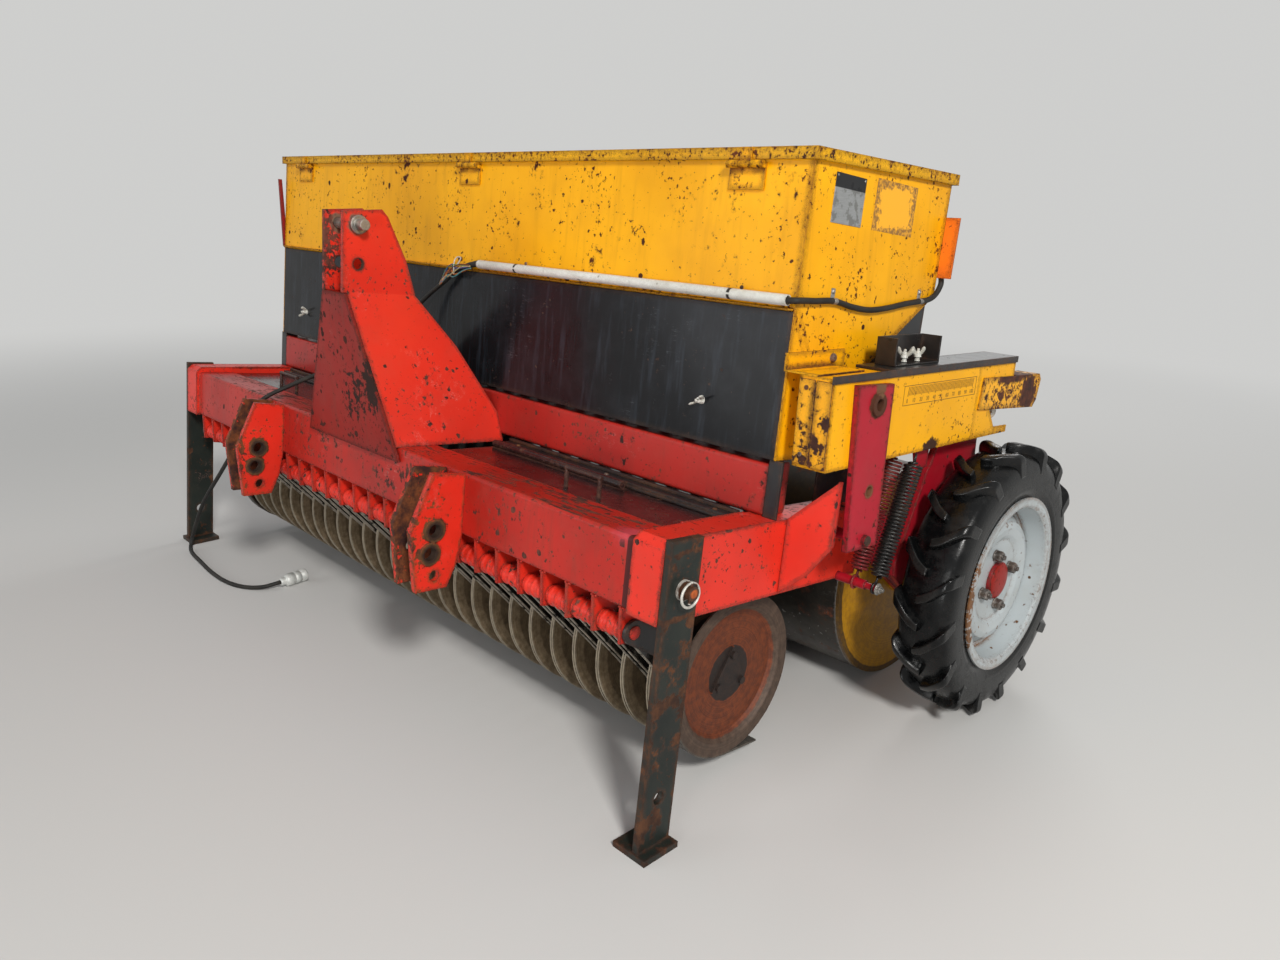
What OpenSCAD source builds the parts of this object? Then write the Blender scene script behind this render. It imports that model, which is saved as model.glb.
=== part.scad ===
// Mounted disc overseeder, parked on its two front legs, its rear roller and its drive wheel.
// Everything is modelled square to the machine and then set down nose-up by parked().
// In the machine's own axes +X is its right as seen from in front, +Y its rear and +Z is up.
// y = 0 is the front face of the beam and z = 0 the ground under that face.

/* [Stance] */
// Nose-up angle of the parked machine, degrees
park_pitch = 5.74; // [0:0.01:8]

/* [Frame] */
// Half the length of the front beam
beam_half = 1000; // [900:5:1100]
// Depth of the front beam, front to rear
beam_depth = 110; // [90:1:140]
// Height of the front beam's underside
beam_low = 446; // [420:1:470]
// Height of the front beam section
beam_h = 136; // [110:1:150]
// Width of each side member
side_w = 75; // [60:1:100]
// Height of the side member section
side_h = 153; // [140:1:170]
// Rear end of the side members
side_rear = 630; // [600:1:680]
// How far the side members stand proud of the beam's face
side_proud = 10; // [4:1:20]
// Front face of the rear rail
rail_front = 300; // [280:1:330]
// Depth of the rear rail
rail_depth = 70; // [50:1:90]
// Height of the rear rail
rail_h = 104; // [80:1:120]
// How far the rear rail reaches past the front beam's end
rail_over = 38; // [30:1:50]
// Thickness of the two deck covers
deck_t = 4; // [2:0.5:6]
// Inner edge of each deck cover, from the middle
deck_inner = 240; // [232:1:300]

/* [Hitch] */
// Distance between the middles of the two lower hitch points
hitch_span = 870; // [825:1:900]
// Clear gap between the two plates of a hitch point
lug_gap = 54; // [50:1:60]
// Thickness of a hitch plate
lug_t = 16; // [12:1:20]
// Diameter of the hitch pin holes
hitch_hole_d = 28.7; // [28.4:0.1:30]
// Diameter of the small lowest hole
small_hole_d = 25; // [20:0.5:28]
// Half the outer width of the headstock at its top
mast_half = 50; // [44:1:60]
// Thickness of the headstock plates
mast_t = 10; // [8:1:14]
// Height of the crease where the headstock flares
mast_crease = 925; // [880:1:950]
// Half the outer width of the headstock at the beam's top
mast_foot = 205; // [160:1:225]
// Diameter of the top link pin and its holes
top_pin_d = 25.4; // [19:0.1:32]

/* [Parking legs] */
// Width of a leg bar, front to rear
leg_w = 80; // [60:1:90]
// Thickness of a leg bar
leg_t = 15; // [10:1:20]
// Front edge of a leg bar
leg_front = -8; // [-20:1:0]
// Top of a leg bar
leg_top = 602; // [600:1:650]
// Travel of a leg between its two holes
leg_travel = 399; // [300:1:410]
// Height of the pin that holds a leg
leg_pin_z = 511; // [490:1:530]

/* [Hopper] */
// How far the hopper's side lies outside the front beam's end
hopper_over = 55; // [48:1:60]
// Front face of the hopper
hopper_front = 296; // [285:1:310]
// Rear face of the hopper
hopper_rear = 795; // [760:1:820]
// Height of the hopper's rim at the front
hopper_top = 1278; // [1220:1:1290]
// Height where the yellow front ends and the black cover starts
hopper_split = 1000; // [960:1:1040]
// Height of the bottom of the black front cover
cover_low = 712; // [708:1:740]
// Sheet thickness of the hopper
hopper_wall = 4; // [2:0.5:8]
// Upward slope of the rim towards the rear, degrees
rim_pitch = 2.4; // [0:0.1:4]
// Depth of the lid's folded lip
lid_lip = 22; // [16:1:30]
// Sheet thickness of the lid
lid_t = 4; // [2:0.5:6]
// Overhang of the lid all round
lid_over = 10; // [8:1:14]
// Thickness of the lid's hinge barrels
hinge_d = 14; // [10:1:18]

/* [Drive side] */
// Gap between the hopper's side and the drive housing
housing_gap = 35; // [30:1:45]
// Length of the drive housing
housing_len = 735; // [680:1:760]
// Height of the drive housing
housing_h = 172; // [150:1:190]
// Width of the drive housing
housing_w = 75; // [60:1:85]
// Upward slope of the drive housing towards the rear, degrees
housing_pitch = 3.45; // [3:0.05:5]
// Thickness of the crimson link plate
link_t = 12; // [8:1:14]
// Outer diameter of the springs
spring_d = 41; // [30:1:46]
// Diameter of the spring wire
wire_d = 6; // [4:0.5:7]

/* [Drive wheel] */
// Radius over the tread bars
tyre_r = 322; // [310:1:330]
// Width of the tyre
tyre_w = 128; // [110:1:135]
// Distance from the drive housing's outer face to the middle plane of the wheel
wheel_gap = 47; // [45:1:60]
// Wheel centre, measured rearwards
wheel_y = 968; // [950:1:990]
// Radius of the rim's flange
rim_r = 206; // [190:1:215]

/* [Roller] */
// Radius of the roller drum
drum_r = 270; // [240:1:275]
// How much shorter than the front beam the roller is, at each end
drum_short = 10; // [8:1:40]
// Roller centre, measured rearwards
drum_y = 975; // [960:1:990]

/* [Coulters] */
// Distance between neighbouring rows
row_pitch = 75; // [70:1:90]
// Number of rows
row_count = 26; // [20:1:27]
// Radius of a coulter disc
disc_r = 175; // [160:1:185]
// Disc centre, measured rearwards
disc_y = 313; // [300:1:330]
// Disc centre height
disc_z = 252; // [245:1:270]
// Pivot tube, measured rearwards
pivot_y = 30; // [20:1:50]
// Pivot tube height
pivot_z = 396; // [390:1:400]
// Radius of the rubber bushes
bush_r = 20; // [16:1:24]

/* [Hidden] */
$fn = 48;

red = "#c8281e";
crimson = "#b01c34";
yellow = "#f2b312";
orange = "#f06a12";
black = "#1b1c1f";
steel = "#7d7f80";
dark_steel = "#3a4140";
rust = "#7c3a20";
rim_grey = "#d5d6d2";
rubber_black = "#16181b";
white = "#e9e9e4";
cord_black = "#15171a";

// Gap between pieces that are seated on each other
seat = 0.3;
// Radial clearance of a shaft that turns in a bore
run = 0.05;
// Clearance of a leg bar along the side member
slide_gap = 0.5;

beam_high = beam_low + beam_h;
side_low = beam_low - 1;
side_high = side_low + side_h;
side_out = beam_half + side_w;
rail_half = beam_half + rail_over;
hopper_half = beam_half + hopper_over;
drum_half = beam_half - drum_short;
housing_out = hopper_half + housing_gap + housing_w;
wheel_x = housing_out + wheel_gap;
rail_low = side_high;
rail_high = rail_low + rail_h;
rail_rear = rail_front + rail_depth;
deck_z = beam_high - 2 * deck_t;
deck_top = deck_z + deck_t;

// Parked position: pitch about the X axis, then the middle of the footprint goes to the origin
sin_p = sin(park_pitch);
cos_p = cos(park_pitch);
foot_over = 22;
leg_x = side_out + slide_gap;
leg_out = leg_x + leg_t;
foot_out = leg_out + foot_over;
tyre_out = wheel_x + tyre_w / 2;
pin_out = 26;
left_out = max(foot_out, leg_out + pin_out);
lug_nose = [-127, 468];
wheel_z = (tyre_r + wheel_y * sin_p) / cos_p;
drum_z = (drum_r + drum_y * sin_p) / cos_p;
box_front = lug_nose[0] * cos_p + lug_nose[1] * sin_p;
box_rear = wheel_y * cos_p + wheel_z * sin_p + tyre_r;
mid_x = (tyre_out - left_out) / 2;
mid_y = (box_front + box_rear) / 2;

module parked() {
    translate([-mid_x, -mid_y, 0]) rotate([-park_pitch, 0, 0]) children();
}

// The children and their mirror image on the machine's left side
module both_sides() {
    children();
    mirror([1, 0, 0]) children();
}

// A plate in the YZ plane from x0 to x0 + t, its outline given as [y, z] points
module plate_yz(x0, t, outline) {
    translate([x0, 0, 0]) rotate([90, 0, 90]) linear_extrude(t) polygon(outline);
}

// A box given by its lowest and highest corners
module block(low, high) {
    translate(low) cube(high - low);
}

// A round bar between two points
module rod(a, b, r) {
    v = b - a;
    len = norm(v);
    translate(a) rotate([0, acos(v[2] / len), atan2(v[1], v[0])]) cylinder(h = len, r = r);
}

// A cylinder along X
module x_cyl(x0, x1, y, z, r) {
    translate([x0, y, z]) rotate([0, 90, 0]) cylinder(h = x1 - x0, r = r);
}

// A ring along X around a shaft
module x_ring(x0, x1, y, z, r_out, r_in) {
    difference() {
        x_cyl(x0, x1, y, z, r_out);
        x_cyl(x0 - 1, x1 + 1, y, z, r_in);
    }
}

// Outline of a flat bar in the YZ plane between two [y, z] points, with a chosen number of facets at each end
function bar_outline(a, b, r_a, r_b, n_a, n_b) = let (dir = atan2(b[1] - a[1], b[0] - a[0])) concat(
    [for (i = [0:n_a]) a + r_a * [cos(dir + 90 + 180 * i / n_a), sin(dir + 90 + 180 * i / n_a)]],
    [for (i = [0:n_b]) b + r_b * [cos(dir - 90 + 180 * i / n_b), sin(dir - 90 + 180 * i / n_b)]]);

// A rectangle with round corners
module round_rect(w, h, r) {
    translate([r, 0]) square([w - 2 * r, h]);
    translate([0, r]) square([w, h - 2 * r]);
    for (x = [r, w - r], y = [r, h - r]) translate([x, y]) circle(r);
}

// A box section along X with rounded long edges
module x_box(x0, x1, y0, z0, depth, h, r) {
    translate([x0, y0, z0]) rotate([90, 0, 90]) linear_extrude(x1 - x0) round_rect(depth, h, r);
}

edge_r = 8;

module front_beam() {
    parked() color(red) x_box(-beam_half, beam_half, 0, beam_low, beam_depth, beam_h, edge_r);
}

nose_drop = 15;
rear_cut = 24;

module side_members() {
    parked() color(red) both_sides() plate_yz(beam_half, side_w, [
        [-side_proud, side_low], [-side_proud, side_high - nose_drop],
        [-side_proud + nose_drop, side_high], [side_rear, side_high],
        [side_rear, side_low + side_h / 2], [side_rear - rear_cut, side_low]]);
}

module rear_rail() {
    parked() color(red) x_box(-rail_half, rail_half, rail_front, rail_low, rail_depth, rail_h, edge_r);
}

tube_r = 9;
tube_y = 250;
tube_end = 700;
handle_r = 5;
handle_x = [632, 736];
handle_y = 148;
handle_h = 40;

module deck_covers() {
    handle_top = deck_top + handle_h;
    parked() color(black) both_sides() {
        block([deck_inner, beam_depth, deck_z], [beam_half, rail_rear, deck_top]);
        x_cyl(deck_inner, tube_end, tube_y, deck_top + tube_r - 1, tube_r);
        for (x = handle_x) rod([x, handle_y, deck_top - 1], [x, handle_y, handle_top], handle_r);
        rod([handle_x[0] - handle_r, handle_y, handle_top],
            [handle_x[1] + handle_r, handle_y, handle_top], handle_r);
    }
}

// The closing plate leans from the crease down to the beam's face
mast_front = -70;
front_t = 8;
front_low = 550;
crease_weld = 6;
lean = atan2(-mast_front - front_t - 1, mast_crease - front_low);
flare = atan2(mast_foot - mast_half + 1, mast_crease - beam_high);
slope_len = (mast_crease - beam_high) / cos(flare);
pin_hole = [-39, 1075];
spare_hole = [-33, 986];

// Front edge of a flared plate, at a distance down its slope
function flare_front(s) = mast_front + (s * cos(flare) + mast_t * sin(flare)) * tan(lean) + front_t / cos(lean) + seat;

// Upper plate outline, as [y, z] points
mast_upper = [[mast_front, mast_crease - crease_weld], [mast_front - 6, 1102], [22, 1115], [38, 1100],
    [92, 1002], [120, mast_crease], [120, mast_crease - crease_weld]];
// Flared plate outline, as [y, distance down the slope from the crease] points
mast_lower = [[flare_front(0), 0], [118, 0], [212, 0.34 * slope_len],
    [rail_front - seat, 0.8 * slope_len], [rail_front - seat, slope_len + mast_t],
    [flare_front(slope_len + mast_t), slope_len + mast_t]];

module headstock_plates() {
    parked() color(red) both_sides() difference() {
        union() {
            plate_yz(mast_half - mast_t, mast_t, mast_upper);
            translate([mast_half - 1, 0, mast_crease]) rotate([0, -flare, 0])
                plate_yz(-mast_t, mast_t, [for (p = mast_lower) [p[0], -p[1]]]);
        }
        for (p = [pin_hole, spare_hole])
            x_cyl(mast_half - mast_t - 1, mast_half + 1, p[0], p[1], top_pin_d / 2);
        block([0, mast_front, front_low], [mast_foot + 50, rail_front + 10, beam_high]);
    }
}

module headstock_front() {
    top_s = (crease_weld + seat) / cos(lean) + front_t * tan(lean);
    beam_s = (mast_crease - beam_high) / cos(lean);
    low_s = (mast_crease - front_low) / cos(lean);
    function half_at(s) = mast_half + (mast_foot - mast_half) * s / beam_s;
    parked() color(red) translate([0, mast_front, mast_crease]) rotate([90 + lean, 0, 0])
        translate([0, 0, -front_t]) linear_extrude(front_t)
        polygon([[-half_at(top_s), -top_s], [half_at(top_s), -top_s],
            [half_at(low_s), -low_s], [-half_at(low_s), -low_s]]);
}

pin_left = 14;
pin_right = 36;
collar_t = 10;
collar_r = 21;

module top_link_pin() {
    parked() color(dark_steel) {
        x_cyl(-mast_half - pin_left, mast_half + pin_right, pin_hole[0], pin_hole[1], top_pin_d / 2 - 0.4);
        x_cyl(mast_half + seat, mast_half + collar_t, pin_hole[0], pin_hole[1], collar_r);
    }
}

lug_holes = [[-70.5, 464], [-79, 414]];
lug_small = [-64, 363];
ring_r = 25.5;
ring_t = 4;
lug_outline = [[0, 580], [-79, 587], lug_nose, [-108, 331], [-32, 333], [-10, 384], [0, 446]];

// Each lower hitch point has an inner and an outer plate, with a weld ring on its outer face
module hitch_lugs() {
    for (side = [-1, 1]) {
        x0 = side < 0 ? (hitch_span - lug_gap) / 2 - lug_t : (hitch_span + lug_gap) / 2;
        ring_x = side < 0 ? x0 - ring_t : x0 + lug_t;
        parked() color(red) both_sides() difference() {
            union() {
                plate_yz(x0, lug_t, lug_outline);
                for (p = lug_holes) x_cyl(ring_x, ring_x + ring_t, p[0], p[1], ring_r);
            }
            for (p = lug_holes) x_cyl(x0 - 10, x0 + lug_t + 10, p[0], p[1], hitch_hole_d / 2);
            x_cyl(x0 - 10, x0 + lug_t + 10, lug_small[0], lug_small[1], small_hole_d / 2);
        }
    }
}

foot_t = 12;
foot_inner = 45;
foot_len = 88;
foot_lead = 4;
leg_hole_r = 13;
leg_pin_y = leg_front + leg_w / 2;

// The foot plate lies flat on the ground, so it is turned back by the parking pitch
module leg() {
    difference() {
        union() {
            block([leg_x, leg_front, foot_t - 4], [leg_out, leg_front + leg_w, leg_top]);
            rotate([park_pitch, 0, 0]) block([leg_x - foot_inner, leg_front - foot_lead, 0],
                [foot_out, leg_front - foot_lead + foot_len, foot_t]);
        }
        for (z = [leg_pin_z, leg_pin_z - leg_travel]) x_cyl(leg_x - 1, leg_out + 1, leg_pin_y, z, leg_hole_r);
    }
}

module leg_right() { parked() color(dark_steel) leg(); }
module leg_left() { parked() color(dark_steel) mirror([1, 0, 0]) leg(); }

pin_r = leg_hole_r - 0.4;
washer_r = 19;
washer_t = 6;
clip_r = 22;
clip_wire = 2.5;

// The pin has a washer, a cross pin and a spring ring that hangs from it
module leg_pin() {
    clip_x = leg_out + pin_out - 8;
    x_cyl(leg_x, leg_out + pin_out, leg_pin_y, leg_pin_z, pin_r);
    x_cyl(leg_out + seat, leg_out + washer_t, leg_pin_y, leg_pin_z, washer_r);
    rod([clip_x, leg_pin_y, leg_pin_z - pin_r - 8], [clip_x, leg_pin_y, leg_pin_z + pin_r + 8], 3);
    translate([clip_x, leg_pin_y, leg_pin_z + pin_r + 5 - clip_r]) rotate([0, 90, 0])
        rotate_extrude($fn = 32) translate([clip_r, 0]) circle(clip_wire, $fn = 12);
}

module leg_pin_right() { parked() color(steel) leg_pin(); }
module leg_pin_left() { parked() color(steel) mirror([1, 0, 0]) leg_pin(); }

rim_rise = (hopper_rear - hopper_front) * tan(rim_pitch);
rear_knee = 1047;
throat_y = 392;
throat_w = 90;
throat_rear = throat_y + throat_w;
throat_z = 838;
skirt_rear = 440;
// Outside of the hopper as [y, z] points: front wall, throat, slanted rear wall, rear wall
hopper_outer = [[hopper_front, hopper_top], [hopper_front, hopper_split], [throat_y, throat_z],
    [throat_rear, throat_z], [hopper_rear, rear_knee], [hopper_rear, hopper_top + rim_rise]];
hopper_inner = [[hopper_front + hopper_wall, hopper_top + 40], [hopper_front + hopper_wall, hopper_split],
    [throat_y + hopper_wall, throat_z + hopper_wall], [throat_rear - hopper_wall, throat_z + hopper_wall],
    [hopper_rear - hopper_wall, rear_knee], [hopper_rear - hopper_wall, hopper_top + 40]];
skirt = [[hopper_front, cover_low], [hopper_front, hopper_split + 10], [throat_y, throat_z + 10],
    [skirt_rear, throat_z + 10], [skirt_rear, throat_z], [skirt_rear - 60, cover_low]];

module hopper_shell() {
    parked() color(yellow) {
        difference() {
            plate_yz(-hopper_half, 2 * hopper_half, hopper_outer);
            plate_yz(-hopper_half + hopper_wall, 2 * (hopper_half - hopper_wall), hopper_inner);
        }
        both_sides() plate_yz(hopper_half - hopper_wall, hopper_wall, skirt);
    }
}

cover_t = 4;
cover_drop = 8;

module hopper_cover() {
    half = hopper_half - hopper_wall - seat;
    parked() color(black) block([-half, hopper_front, cover_low],
        [half, hopper_front + cover_t, hopper_split - cover_drop]);
}

angle_w = 32;
angle_d = 40;
angle_t = 5;
foot_y0 = 470;
foot_y1 = 625;
foot_knee = 740;
slant = (rear_knee - throat_z) / (hopper_rear - throat_rear);
slant_gap = seat * sqrt(1 + slant * slant);

// Front angles on the side members, and side plates under the slanted rear wall
module hopper_feet() {
    function under(y) = throat_z + (y - throat_rear) * slant - slant_gap;
    x0 = rail_half + 1;
    parked() color(black) both_sides() {
        block([x0, hopper_front + cover_t, side_high], [x0 + angle_w, hopper_front + cover_t + angle_t, cover_low - seat]);
        block([x0, hopper_front + cover_t, side_high], [x0 + angle_t, hopper_front + cover_t + angle_d, cover_low - seat]);
        plate_yz(x0 - angle_t, angle_t, [[foot_y0, side_high], [foot_y1, side_high], [hopper_rear - 2, foot_knee],
            [hopper_rear - 2, under(hopper_rear - 2)], [throat_rear, under(throat_rear)],
            [foot_y0, under(throat_rear)]]);
    }
}

hinge_r = hinge_d / 2;
hinge_plate = 4;
hinge_y = hopper_front - seat - hinge_plate - hinge_r - 1.2;
hinge_z = hopper_top - 26;
hinge_x = [-905, 0, 905];
knuckle = 28;
knuckle_gap = 1;
hinge_pin_r = 3.5;
strap_t = 4;
lid_gap = 1;
lid_half = hopper_half + lid_over;
lid_front = hopper_front - lid_over;
lid_rear = hopper_rear + lid_over;

// The rim rises slightly to the rear, and the lid lies on it
module on_rim() {
    translate([0, hopper_front, hopper_top]) rotate([rim_pitch, 0, 0]) children();
}

module lid() {
    front = lid_front - hopper_front;
    rear = (lid_rear - hopper_front) / cos(rim_pitch);
    top = lid_gap + lid_t;
    parked() color(yellow) on_rim() difference() {
        block([-lid_half, front, top - lid_lip], [lid_half, rear, top]);
        block([-lid_half + lid_t, front + lid_t, -lid_lip], [lid_half - lid_t, rear - lid_t, lid_gap]);
    }
}

// The two outer barrels of each hinge are fixed to the hopper and carry the pin
module lid_hinges() {
    plate_y = hopper_front - seat - hinge_plate;
    span = knuckle / 2 + knuckle_gap + knuckle;
    parked() color(yellow) for (x = hinge_x) {
        for (x0 = [x - span, x + span - knuckle]) {
            x_cyl(x0, x0 + knuckle, hinge_y, hinge_z, hinge_r, $fn = 24);
            block([x0, hinge_y, hinge_z - hinge_r], [x0 + knuckle, plate_y + 1, hinge_z]);
        }
        block([x - span, plate_y, hinge_z - 46], [x + span, plate_y + hinge_plate, hinge_z + 4]);
        x_cyl(x - span + 1, x + span - 1, hinge_y, hinge_z, hinge_pin_r, $fn = 24);
    }
}

// The middle barrel of each hinge has a strap on the lid's front lip
module lid_straps() {
    y1 = lid_front - seat;
    parked() color(rust) for (x = hinge_x) difference() {
        union() {
            x_cyl(x - knuckle / 2, x + knuckle / 2, hinge_y, hinge_z, hinge_r, $fn = 24);
            block([x - knuckle / 2, y1 - strap_t, hinge_z], [x + knuckle / 2, y1, hopper_top + lid_t]);
        }
        x_cyl(x - knuckle, x + knuckle, hinge_y, hinge_z, hinge_pin_r + run, $fn = 24);
    }
}

pipe_r = 10.5;
pipe_bore = 8;
pipe_z = hopper_split + 12;
pipe_left = 75;
pipe_y = hopper_front - pipe_r - seat;
pipe_end = 14;
pipe_short = 12;

// A pipe with a stopper at its left end, where the free cable comes out
module conduit() {
    parked() color(white) difference() {
        x_cyl(pipe_left, hopper_half - pipe_short, pipe_y, pipe_z, pipe_r, $fn = 32);
        x_cyl(pipe_left + pipe_end, hopper_half, pipe_y, pipe_z, pipe_bore, $fn = 32);
    }
}

bracket_top = hopper_top - 68;
bracket_bar = [[272, bracket_top], [282, bracket_top], [306, hopper_split + 4], [358, hopper_split - 44],
    [350, hopper_split - 54], [293, hopper_split - 2]];

module side_bracket() {
    parked() color(crimson) plate_yz(-hopper_half - seat - 8, 8, bracket_bar);
}

marker_high = hopper_top - 63;
marker_low = marker_high - 128;

module marker_plate() {
    parked() color(orange) block([hopper_half - 90, hopper_rear + seat, marker_low],
        [hopper_half + 32, hopper_rear + seat + 3, marker_high]);
}

meter_h = 110;
meter_in = 30;

module metering_box() {
    parked() color(black) block([-hopper_half + meter_in, throat_y, throat_z - meter_h],
        [hopper_half - meter_in, throat_rear, throat_z - seat]);
}

row_x = [for (i = [0:row_count - 1]) (i - (row_count - 1) / 2) * row_pitch];
disc_t = 4;
disc_off = 12;
disc_toe = 3;
hub_r = 12;
hose_r = 15;
hose_rise = 0.33;
hose_top = [throat_y + throat_w / 2, throat_z - meter_h - seat - hose_rise * hose_r];
boot_half = 7;
boot_high = 440;
boot_y = disc_y + hub_r + seat;

// A seed boot between the discs of each row, and the hose that feeds it
module seed_tubes() {
    parked() color(black) for (x = row_x) {
        plate_yz(x - boot_half, 2 * boot_half, [[boot_y, disc_z - 20], [boot_y, boot_high],
            [boot_y + 44, boot_high], [boot_y + 50, disc_z - 110], [boot_y + 24, disc_z - 128]]);
        rod([x, boot_y + 24, boot_high - 6], [x, hose_top[0], hose_top[1]], hose_r, $fn = 16);
    }
}

// The housing's own frame: its lowest outer front corner, rising slightly to the rear
module on_housing() {
    translate([housing_out, housing_front, housing_low]) rotate([housing_pitch, 0, 0]) children();
}

housing_front = 300;
housing_low = 712;
housing_wall = 4;
pocket_y = housing_len - 175;
notch = [[0, 16], [-67, 18], [-102, 63], [-102, 120], [0, 120]];
flange_t = 4;
flange_len = 150;

// Box with an open, notched rear end, and the small flange that joins it to the hopper's side
module drive_housing() {
    in = housing_w + housing_out - housing_w - hopper_half - seat;
    parked() color(yellow) on_housing() {
        difference() {
            plate_yz(-housing_w, housing_w, concat([[0, 0], [housing_len, 0]],
                [for (p = notch) [housing_len + p[0], p[1]]], [[housing_len, housing_h], [0, housing_h]]));
            block([-housing_w + housing_wall, pocket_y, housing_wall],
                [-housing_wall, housing_len + 10, housing_h - housing_wall]);
        }
        block([-in, -5, housing_h], [-housing_w + 40, flange_len, housing_h + flange_t]);
        block([-in, -5, housing_h], [-in + flange_t, flange_len + 35, housing_h + 34]);
    }
}

cover_lip = 14;

module housing_cover() {
    parked() color(black) on_housing() {
        block([-housing_w - 6, flange_len + 40, housing_h + seat], [4, housing_len, housing_h + 6]);
        block([seat, -8, housing_h + 6 - cover_lip], [4, housing_len, housing_h + 6]);
    }
}

box_y = [235, 405];
box_w = 46;
box_h = 55;
box_t = 3;

module adjuster_box() {
    z0 = housing_h + 6 + seat;
    x0 = -housing_w + 8;
    parked() color(black) on_housing() {
        block([x0, box_y[0], z0], [x0 + box_t, box_y[1], z0 + box_h]);
        for (y = box_y) block([x0, y, z0], [x0 + box_w, y + box_t, z0 + box_h]);
        block([x0, box_y[0], z0], [x0 + box_w, box_y[1], z0 + box_t]);
    }
}

// Outer plate of the bracket behind the housing and its folded top, from the housing's top rear corner
end_outline = [[-164, -106], [-154, -35], [-6, -40], [134, -43], [145, -57], [135, -106], [119, -123]];
end_fold = [[19, -44], [19, -40], [134, -43], [134, -47]];
end_fold_w = 50;

module end_bracket() {
    parked() color(yellow) on_housing() translate([seat, housing_len, housing_h]) {
        plate_yz(0, flange_t, end_outline);
        plate_yz(-end_fold_w, end_fold_w + flange_t, end_fold);
    }
}

knob_r = 19;
knob_t = 22;
knob_y = housing_len - 47;
knob_z = 46;

module scale_knob() {
    parked() color(white) on_housing() translate([-housing_w / 2, 0, knob_z]) {
        rod([0, pocket_y + seat, 0], [0, knob_y + 1, 0], 5);
        rod([0, knob_y, 0], [0, knob_y + knob_t, 0], knob_r);
    }
}

gusset_t = 8;
gusset_y = 330;
gusset_turn = 12;
gusset_len = (housing_out + 4 - side_out) / cos(gusset_turn);
gusset_tip = [558, 692];

module gusset() {
    parked() color(red) translate([side_out + seat, gusset_y, 0]) rotate([0, 0, gusset_turn]) {
        translate([0, gusset_t, 0]) rotate([90, 0, 0]) linear_extrude(gusset_t)
            polygon([[2, side_low + 4], [2, side_high + 2], [gusset_len, gusset_tip[1]], [gusset_len, gusset_tip[0]],
                [0.56 * gusset_len, side_low + 50]]);
        block([gusset_len - 6, gusset_t - 1, gusset_tip[0] + 4], [gusset_len, gusset_t + 10, gusset_tip[1] - 2]);
    }
}

link_outline = [[355, 874], [476, 877], [500, 553], [396, 550]];
link_boss = [426, 838];
link_bolt = [451, 569];
link_hole = [444, 668];
bolt_r = 11;

// The link plate lies on the housing's outer side, and its lower bolt reaches the side member
module link_plate() {
    x0 = housing_out + seat;
    parked() color(crimson) difference() {
        union() {
            plate_yz(x0, link_t, link_outline);
            x_cyl(x0 + link_t - 1, x0 + link_t + 6, link_boss[0], link_boss[1], 22);
            x_cyl(side_out + seat, x0 + link_t + 8, link_bolt[0], link_bolt[1], bolt_r);
        }
        x_cyl(x0 + 2, x0 + link_t + 10, link_boss[0], link_boss[1], 12);
        x_cyl(x0 - 1, x0 + link_t + 1, link_hole[0], link_hole[1], 10);
    }
}

spring_x = housing_out;
spring_gap_x = 47;
spring_low = [545, 448];
spring_high = [627, 713];
stub_bar_r = 10;
stub_end = spring_x - 20;
stub_pin_r = 7;
coil_count = 33;

// Underside of the housing at a place y, in the machine's own axes
function housing_under(y) = housing_low + (y - housing_front) * tan(housing_pitch);

// Stub bar with a stepped end for the springs' eyes, and the tab behind them
module spring_mounts() {
    tab_t = 6;
    tab_y = 652;
    tab_low = housing_under(tab_y) - 43;
    parked() {
        color(red) x_cyl(side_out + seat, stub_end, spring_low[0], spring_low[1] + 2, stub_bar_r);
        color(red) x_cyl(stub_end - 1, spring_x + 16, spring_low[0], spring_low[1] + 2, stub_pin_r);
        color(yellow) plate_yz(spring_x - 24, tab_t, [[tab_y, housing_under(tab_y) - seat],
            [tab_y + 60, housing_under(tab_y + 60) - seat], [tab_y + 64, tab_low], [tab_y + 28, tab_low - 2],
            [tab_y, tab_low - 78], [tab_y - 8, tab_low - 76], [tab_y + 12, tab_low + 12]]);
    }
}

// One tension spring: an eye round the stub, a ribbed coil and a straight upper end
module spring(x, eye_in) {
    coil_r = spring_d / 2;
    low = [x, spring_low[0], spring_low[1] + 2];
    high = [x, spring_high[0], spring_high[1]];
    v = high - low;
    len = norm(v);
    first = 24;
    pitch = (len - first) / coil_count;
    ribs = concat([[0, first]], [for (i = [0:coil_count - 1], k = [0, 1])
        [coil_r - (k == 0 ? 0 : wire_d / 2), first + (i + 0.25 + k / 2) * pitch]], [[0, len]]);
    x_ring(x - 4, x + 4, low[1], low[2], eye_in + 6, eye_in, $fn = 24);
    translate(low) rotate([0, acos(v[2] / len), atan2(v[1], v[0])]) {
        rotate_extrude($fn = 20) polygon(ribs);
        translate([0, 0, eye_in + 3]) cylinder(h = first - eye_in, r = 4, $fn = 12);
    }
    rod(high - v / len, [x, high[1], housing_under(high[1]) - seat - 2], 4);
}

module springs() {
    parked() {
        color(dark_steel) spring(spring_x, stub_pin_r + seat);
        color(crimson) spring(spring_x - spring_gap_x, stub_bar_r + seat);
    }
}

arm_x = housing_out - 53;
arm_t = 14;
spindle_r = 17;
arm_outline = [[792, 739], [975, 750], [1015, 450], [1005, 385], [935, 375], [748, 396], [692, 440],
    [690, 470], [764, 672], [776, 690]];

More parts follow.
